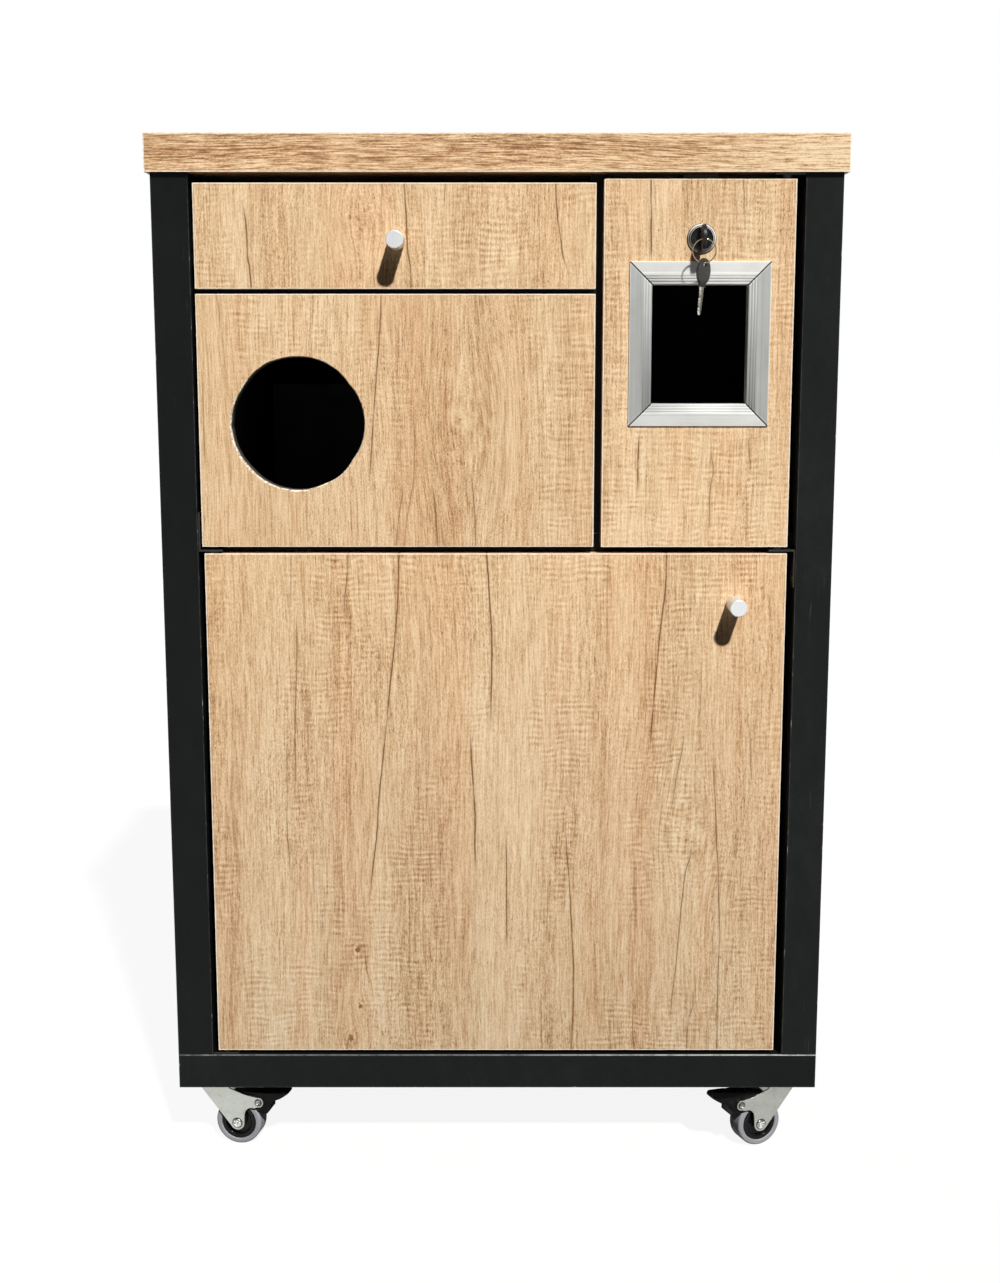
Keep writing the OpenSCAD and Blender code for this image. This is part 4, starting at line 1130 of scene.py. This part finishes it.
def bitting(bm):
    """Narrows the blade towards its tip and cuts teeth along one edge."""
    start = BLADE_START - 0.0001
    for k in range(BLADE_CUTS):
        at = SPARE_KEY_TOP + down * (BLADE_START + BLADE_PITCH * k)
        geom = bm.verts[:] + bm.edges[:] + bm.faces[:]
        bmesh.ops.bisect_plane(bm, geom=geom, plane_co=at, plane_no=down)
    for v in bm.verts:
        reach = (v.co - SPARE_KEY_TOP).dot(down)
        if reach < start:
            continue
        aside = (v.co - SPARE_KEY_TOP).dot(across)
        width = 0.8 - 9.0 * (reach - 0.0224)
        if aside > 0.0003:
            tooth = int(round((reach - BLADE_START) / BLADE_PITCH)) % len(TEETH)
            width -= 0.34 * TEETH[tooth]
        v.co += across * (aside * (max(width, 0.3) - 1))


two_tone_key(
    "door_key", door_bow, DOOR_KEY_ORIGIN, Vector((0, 1, 0)), DOOR_KEY_BOW, bevel=0.0006
)
two_tone_key(
    "spare_key", spare_bow, SPARE_KEY_TOP, down, SPARE_KEY_BOW, bevel=0.0005, shape=bitting
)
split_ring("key_ring")

# ------------------------------------------------------------------ castors
CASTOR = dict(rough=0.42, spread=0.12, spots=0.15, grime=0.14, deep=0.0016)
AXLE_HEAD, BRAKE_HEAD = 0.0054, 0.0036  # rivet head radii
plate = metal("castor_zinc", (170, 173, 168), 15.2, contrast=0.11, **CASTOR)
tyre = plastic(
    "tyre_grey", (150, 148, 154), 16.4, rough=0.6, grain=1200, var=0.08, spec=0.2, dust=0.1
)
hub = plastic(
    "hub_black", (13, 14, 14), 17.6, rough=0.2, grain=1300, var=0.25, spec=0.12, dust=0.02
)
pedal = plastic(
    "pedal_black", (11, 12, 12), 18.4, rough=0.34, grain=1000, var=0.3, spec=0.07, dust=0.03
)


def riveted(m, heads):
    """Mottles each rivet head and paints shade in the groove round it. heads: joint, head radius.
    """
    pos = m.position()
    colour = m.colour
    blot = m.noise(pos, 620, rough=0.6)
    for joint, radius in heads:
        away = m.vec("SUBTRACT", pos, tuple(joint["pos_m"]))
        off = m.vec("CROSS_PRODUCT", away, tuple(joint["axis"]))
        far = m.node("ShaderNodeVectorMath", {0: off}, operation="LENGTH").outputs[1]
        head = m.remap(far, (radius - 0.0004, radius), to=(1, 0))
        blotched = m.mul(head, m.remap(blot, (0.42, 0.58), to=(0.05, 0.8)))
        colour = m.mix(blotched, colour, srgb(58, 58, 56))
        # painted shade in the groove round the head
        groove = m.band(far, radius + 0.0001, (0.0003, 0.0009), to=(0.9, 0))
        colour = m.mix(groove, colour, srgb(40, 40, 38))
    m.recolour(colour)
    return m


def wedge_pad(castor):
    """The brake pad thins to its tip."""
    swivel = Vector(JOINTS[castor + "_swivel_turn"]["pos_m"])
    wheel = Vector(JOINTS[castor + "_wheel_roll"]["pos_m"])
    outward = Vector((wheel.x - swivel.x, wheel.y - swivel.y, 0)).normalized()
    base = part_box("base_board")[0][2]

    def shape(bm):
        for v in bm.verts:
            reach = (v.co - swivel).dot(outward)
            low = base - PAD_DROP + (reach - PAD_START) * PAD_SLOPE
            if reach > PAD_START + 0.0002 and v.co.z < low:
                v.co.z = low

    return shape


dress("castor_plates", plate, bevel=0.0003)
for k, castor in enumerate(("front_left", "front_right", "rear_left", "rear_right")):
    axle_heads = [(JOINTS[castor + "_wheel_roll"], AXLE_HEAD)]
    heads = list(axle_heads)
    if castor.startswith("front"):
        heads.append((JOINTS[castor + "_brake_press"], BRAKE_HEAD))
    fork = metal("castor_zinc_" + castor, (172, 175, 170), 15.2 + 3 * k, contrast=0.12, **CASTOR)
    rivet = metal(
        "castor_rivet_" + castor, (240, 242, 240), 19.2 + 2 * k, rough=0.22, spread=0.08,
        contrast=0.14, deep=0.0012,
    )
    dress(castor + "_fork", riveted(fork, heads), bevel=0.0004)
    dress(castor + "_axle", riveted(rivet, axle_heads), bevel=0.0002)
    dress(castor + "_tyre", tyre, bevel=0.0003)
    dress(castor + "_hub", hub, bevel=0.0003)
for castor in ("front_left", "front_right"):
    dress(castor + "_pedal", pedal, bevel=0.0006, shape=wedge_pad(castor))


# ------------------------------------------------------------------ stage
def floor_material():
    """Near white to the camera, but dark to diffuse rays so it throws little light upwards."""
    m = Mat("floor_pale")
    cloud = m.noise(m.pos, 3, detail=4)
    rays = m.node("ShaderNodeLightPath").outputs
    pale = m.ramp(cloud, [(0.3, srgb(243, 243, 242)), (0.7, srgb(249, 249, 248))])
    dark = m.mul(rays["Is Diffuse Ray"], 0.985)
    m.surface(
        Base_Color=m.mix(dark, pale, srgb(40, 38, 35)), Roughness=0.8, Specular_IOR_Level=0.0
    )
    glow = m.node("ShaderNodeEmission", {"Color": grey(1), "Strength": 1.0}).outputs[0]
    seen = m.mul(rays["Is Camera Ray"], 0.9)
    both = m.node("ShaderNodeMixShader", {0: seen, 1: m.shader.outputs[0], 2: glow})
    m.put(m.output.inputs["Surface"], both.outputs[0])
    return m.material


def add_floor(half):
    mesh = bpy.data.meshes.new("floor")
    square = [(-half, -half, 0), (half, -half, 0), (half, half, 0), (-half, half, 0)]
    mesh.from_pydata(square, [], [(0, 1, 2, 3)])
    mesh.materials.append(floor_material())
    floor = bpy.data.objects.new("floor", mesh)
    SCENE.collection.objects.link(floor)


def add_sun(name, energy, spread, colour, travel, location):
    """Sun whose light runs along travel; spread is its angular size in degrees."""
    light = bpy.data.lights.new(name, "SUN")
    light.energy = energy
    light.angle = math.radians(spread)
    light.color = colour
    sun = bpy.data.objects.new(name, light)
    sun.rotation_mode = "QUATERNION"
    sun.rotation_quaternion = Vector(travel).normalized().to_track_quat("-Z", "Y")
    sun.location = location
    SCENE.collection.objects.link(sun)


def add_world():
    """White to the camera, a bright room in reflections, and almost no fill light."""
    world = bpy.data.worlds.new("studio")
    SCENE.world = world
    world.use_nodes = True
    tree = world.node_tree
    tree.nodes.clear()
    output = tree.nodes.new("ShaderNodeOutputWorld")
    rays = tree.nodes.new("ShaderNodeLightPath").outputs

    def background(colour, strength):
        node = tree.nodes.new("ShaderNodeBackground")
        node.inputs[0].default_value = colour
        node.inputs[1].default_value = strength
        return node.outputs[0]

    def choose(ray, otherwise, chosen):
        node = tree.nodes.new("ShaderNodeMixShader")
        for socket, source in zip(node.inputs, (rays[ray], otherwise, chosen)):
            tree.links.new(source, socket)
        return node.outputs[0]

    seen = background(grey(1), strength=1.0)
    fill = background((1.0, 0.985, 0.95, 1), strength=0.006)
    room = background((1.0, 1.0, 0.99, 1), strength=0.46)
    unseen = choose("Is Glossy Ray", fill, room)
    tree.links.new(choose("Is Camera Ray", unseen, seen), output.inputs[0])


def add_camera():
    camera = bpy.data.cameras.new("camera")
    camera.lens = 47.08
    camera.sensor_width = 36.0
    camera.clip_start = 0.05
    camera.clip_end = 60
    obj = bpy.data.objects.new("camera", camera)
    obj.location = (0.003, -1.952, 0.862)
    obj.rotation_euler = (math.radians(80.593), 0, 0)
    SCENE.collection.objects.link(obj)
    SCENE.camera = obj


add_floor(half=14)
add_sun(
    "key", energy=4.72, spread=2.6, colour=(1.0, 0.99, 0.972),
    travel=(-11.4, 33, -35), location=(1, -3, 3),
)
# a softer lamp for the back and the far side; the front faces never see it
add_sun(
    "behind", energy=2.6, spread=14, colour=(0.98, 0.99, 1.0),
    travel=(14, -33, -21), location=(-1, 3, 3),
)
add_world()
SCENE.view_settings.view_transform = "Standard"
SCENE.view_settings.look = "None"
add_camera()
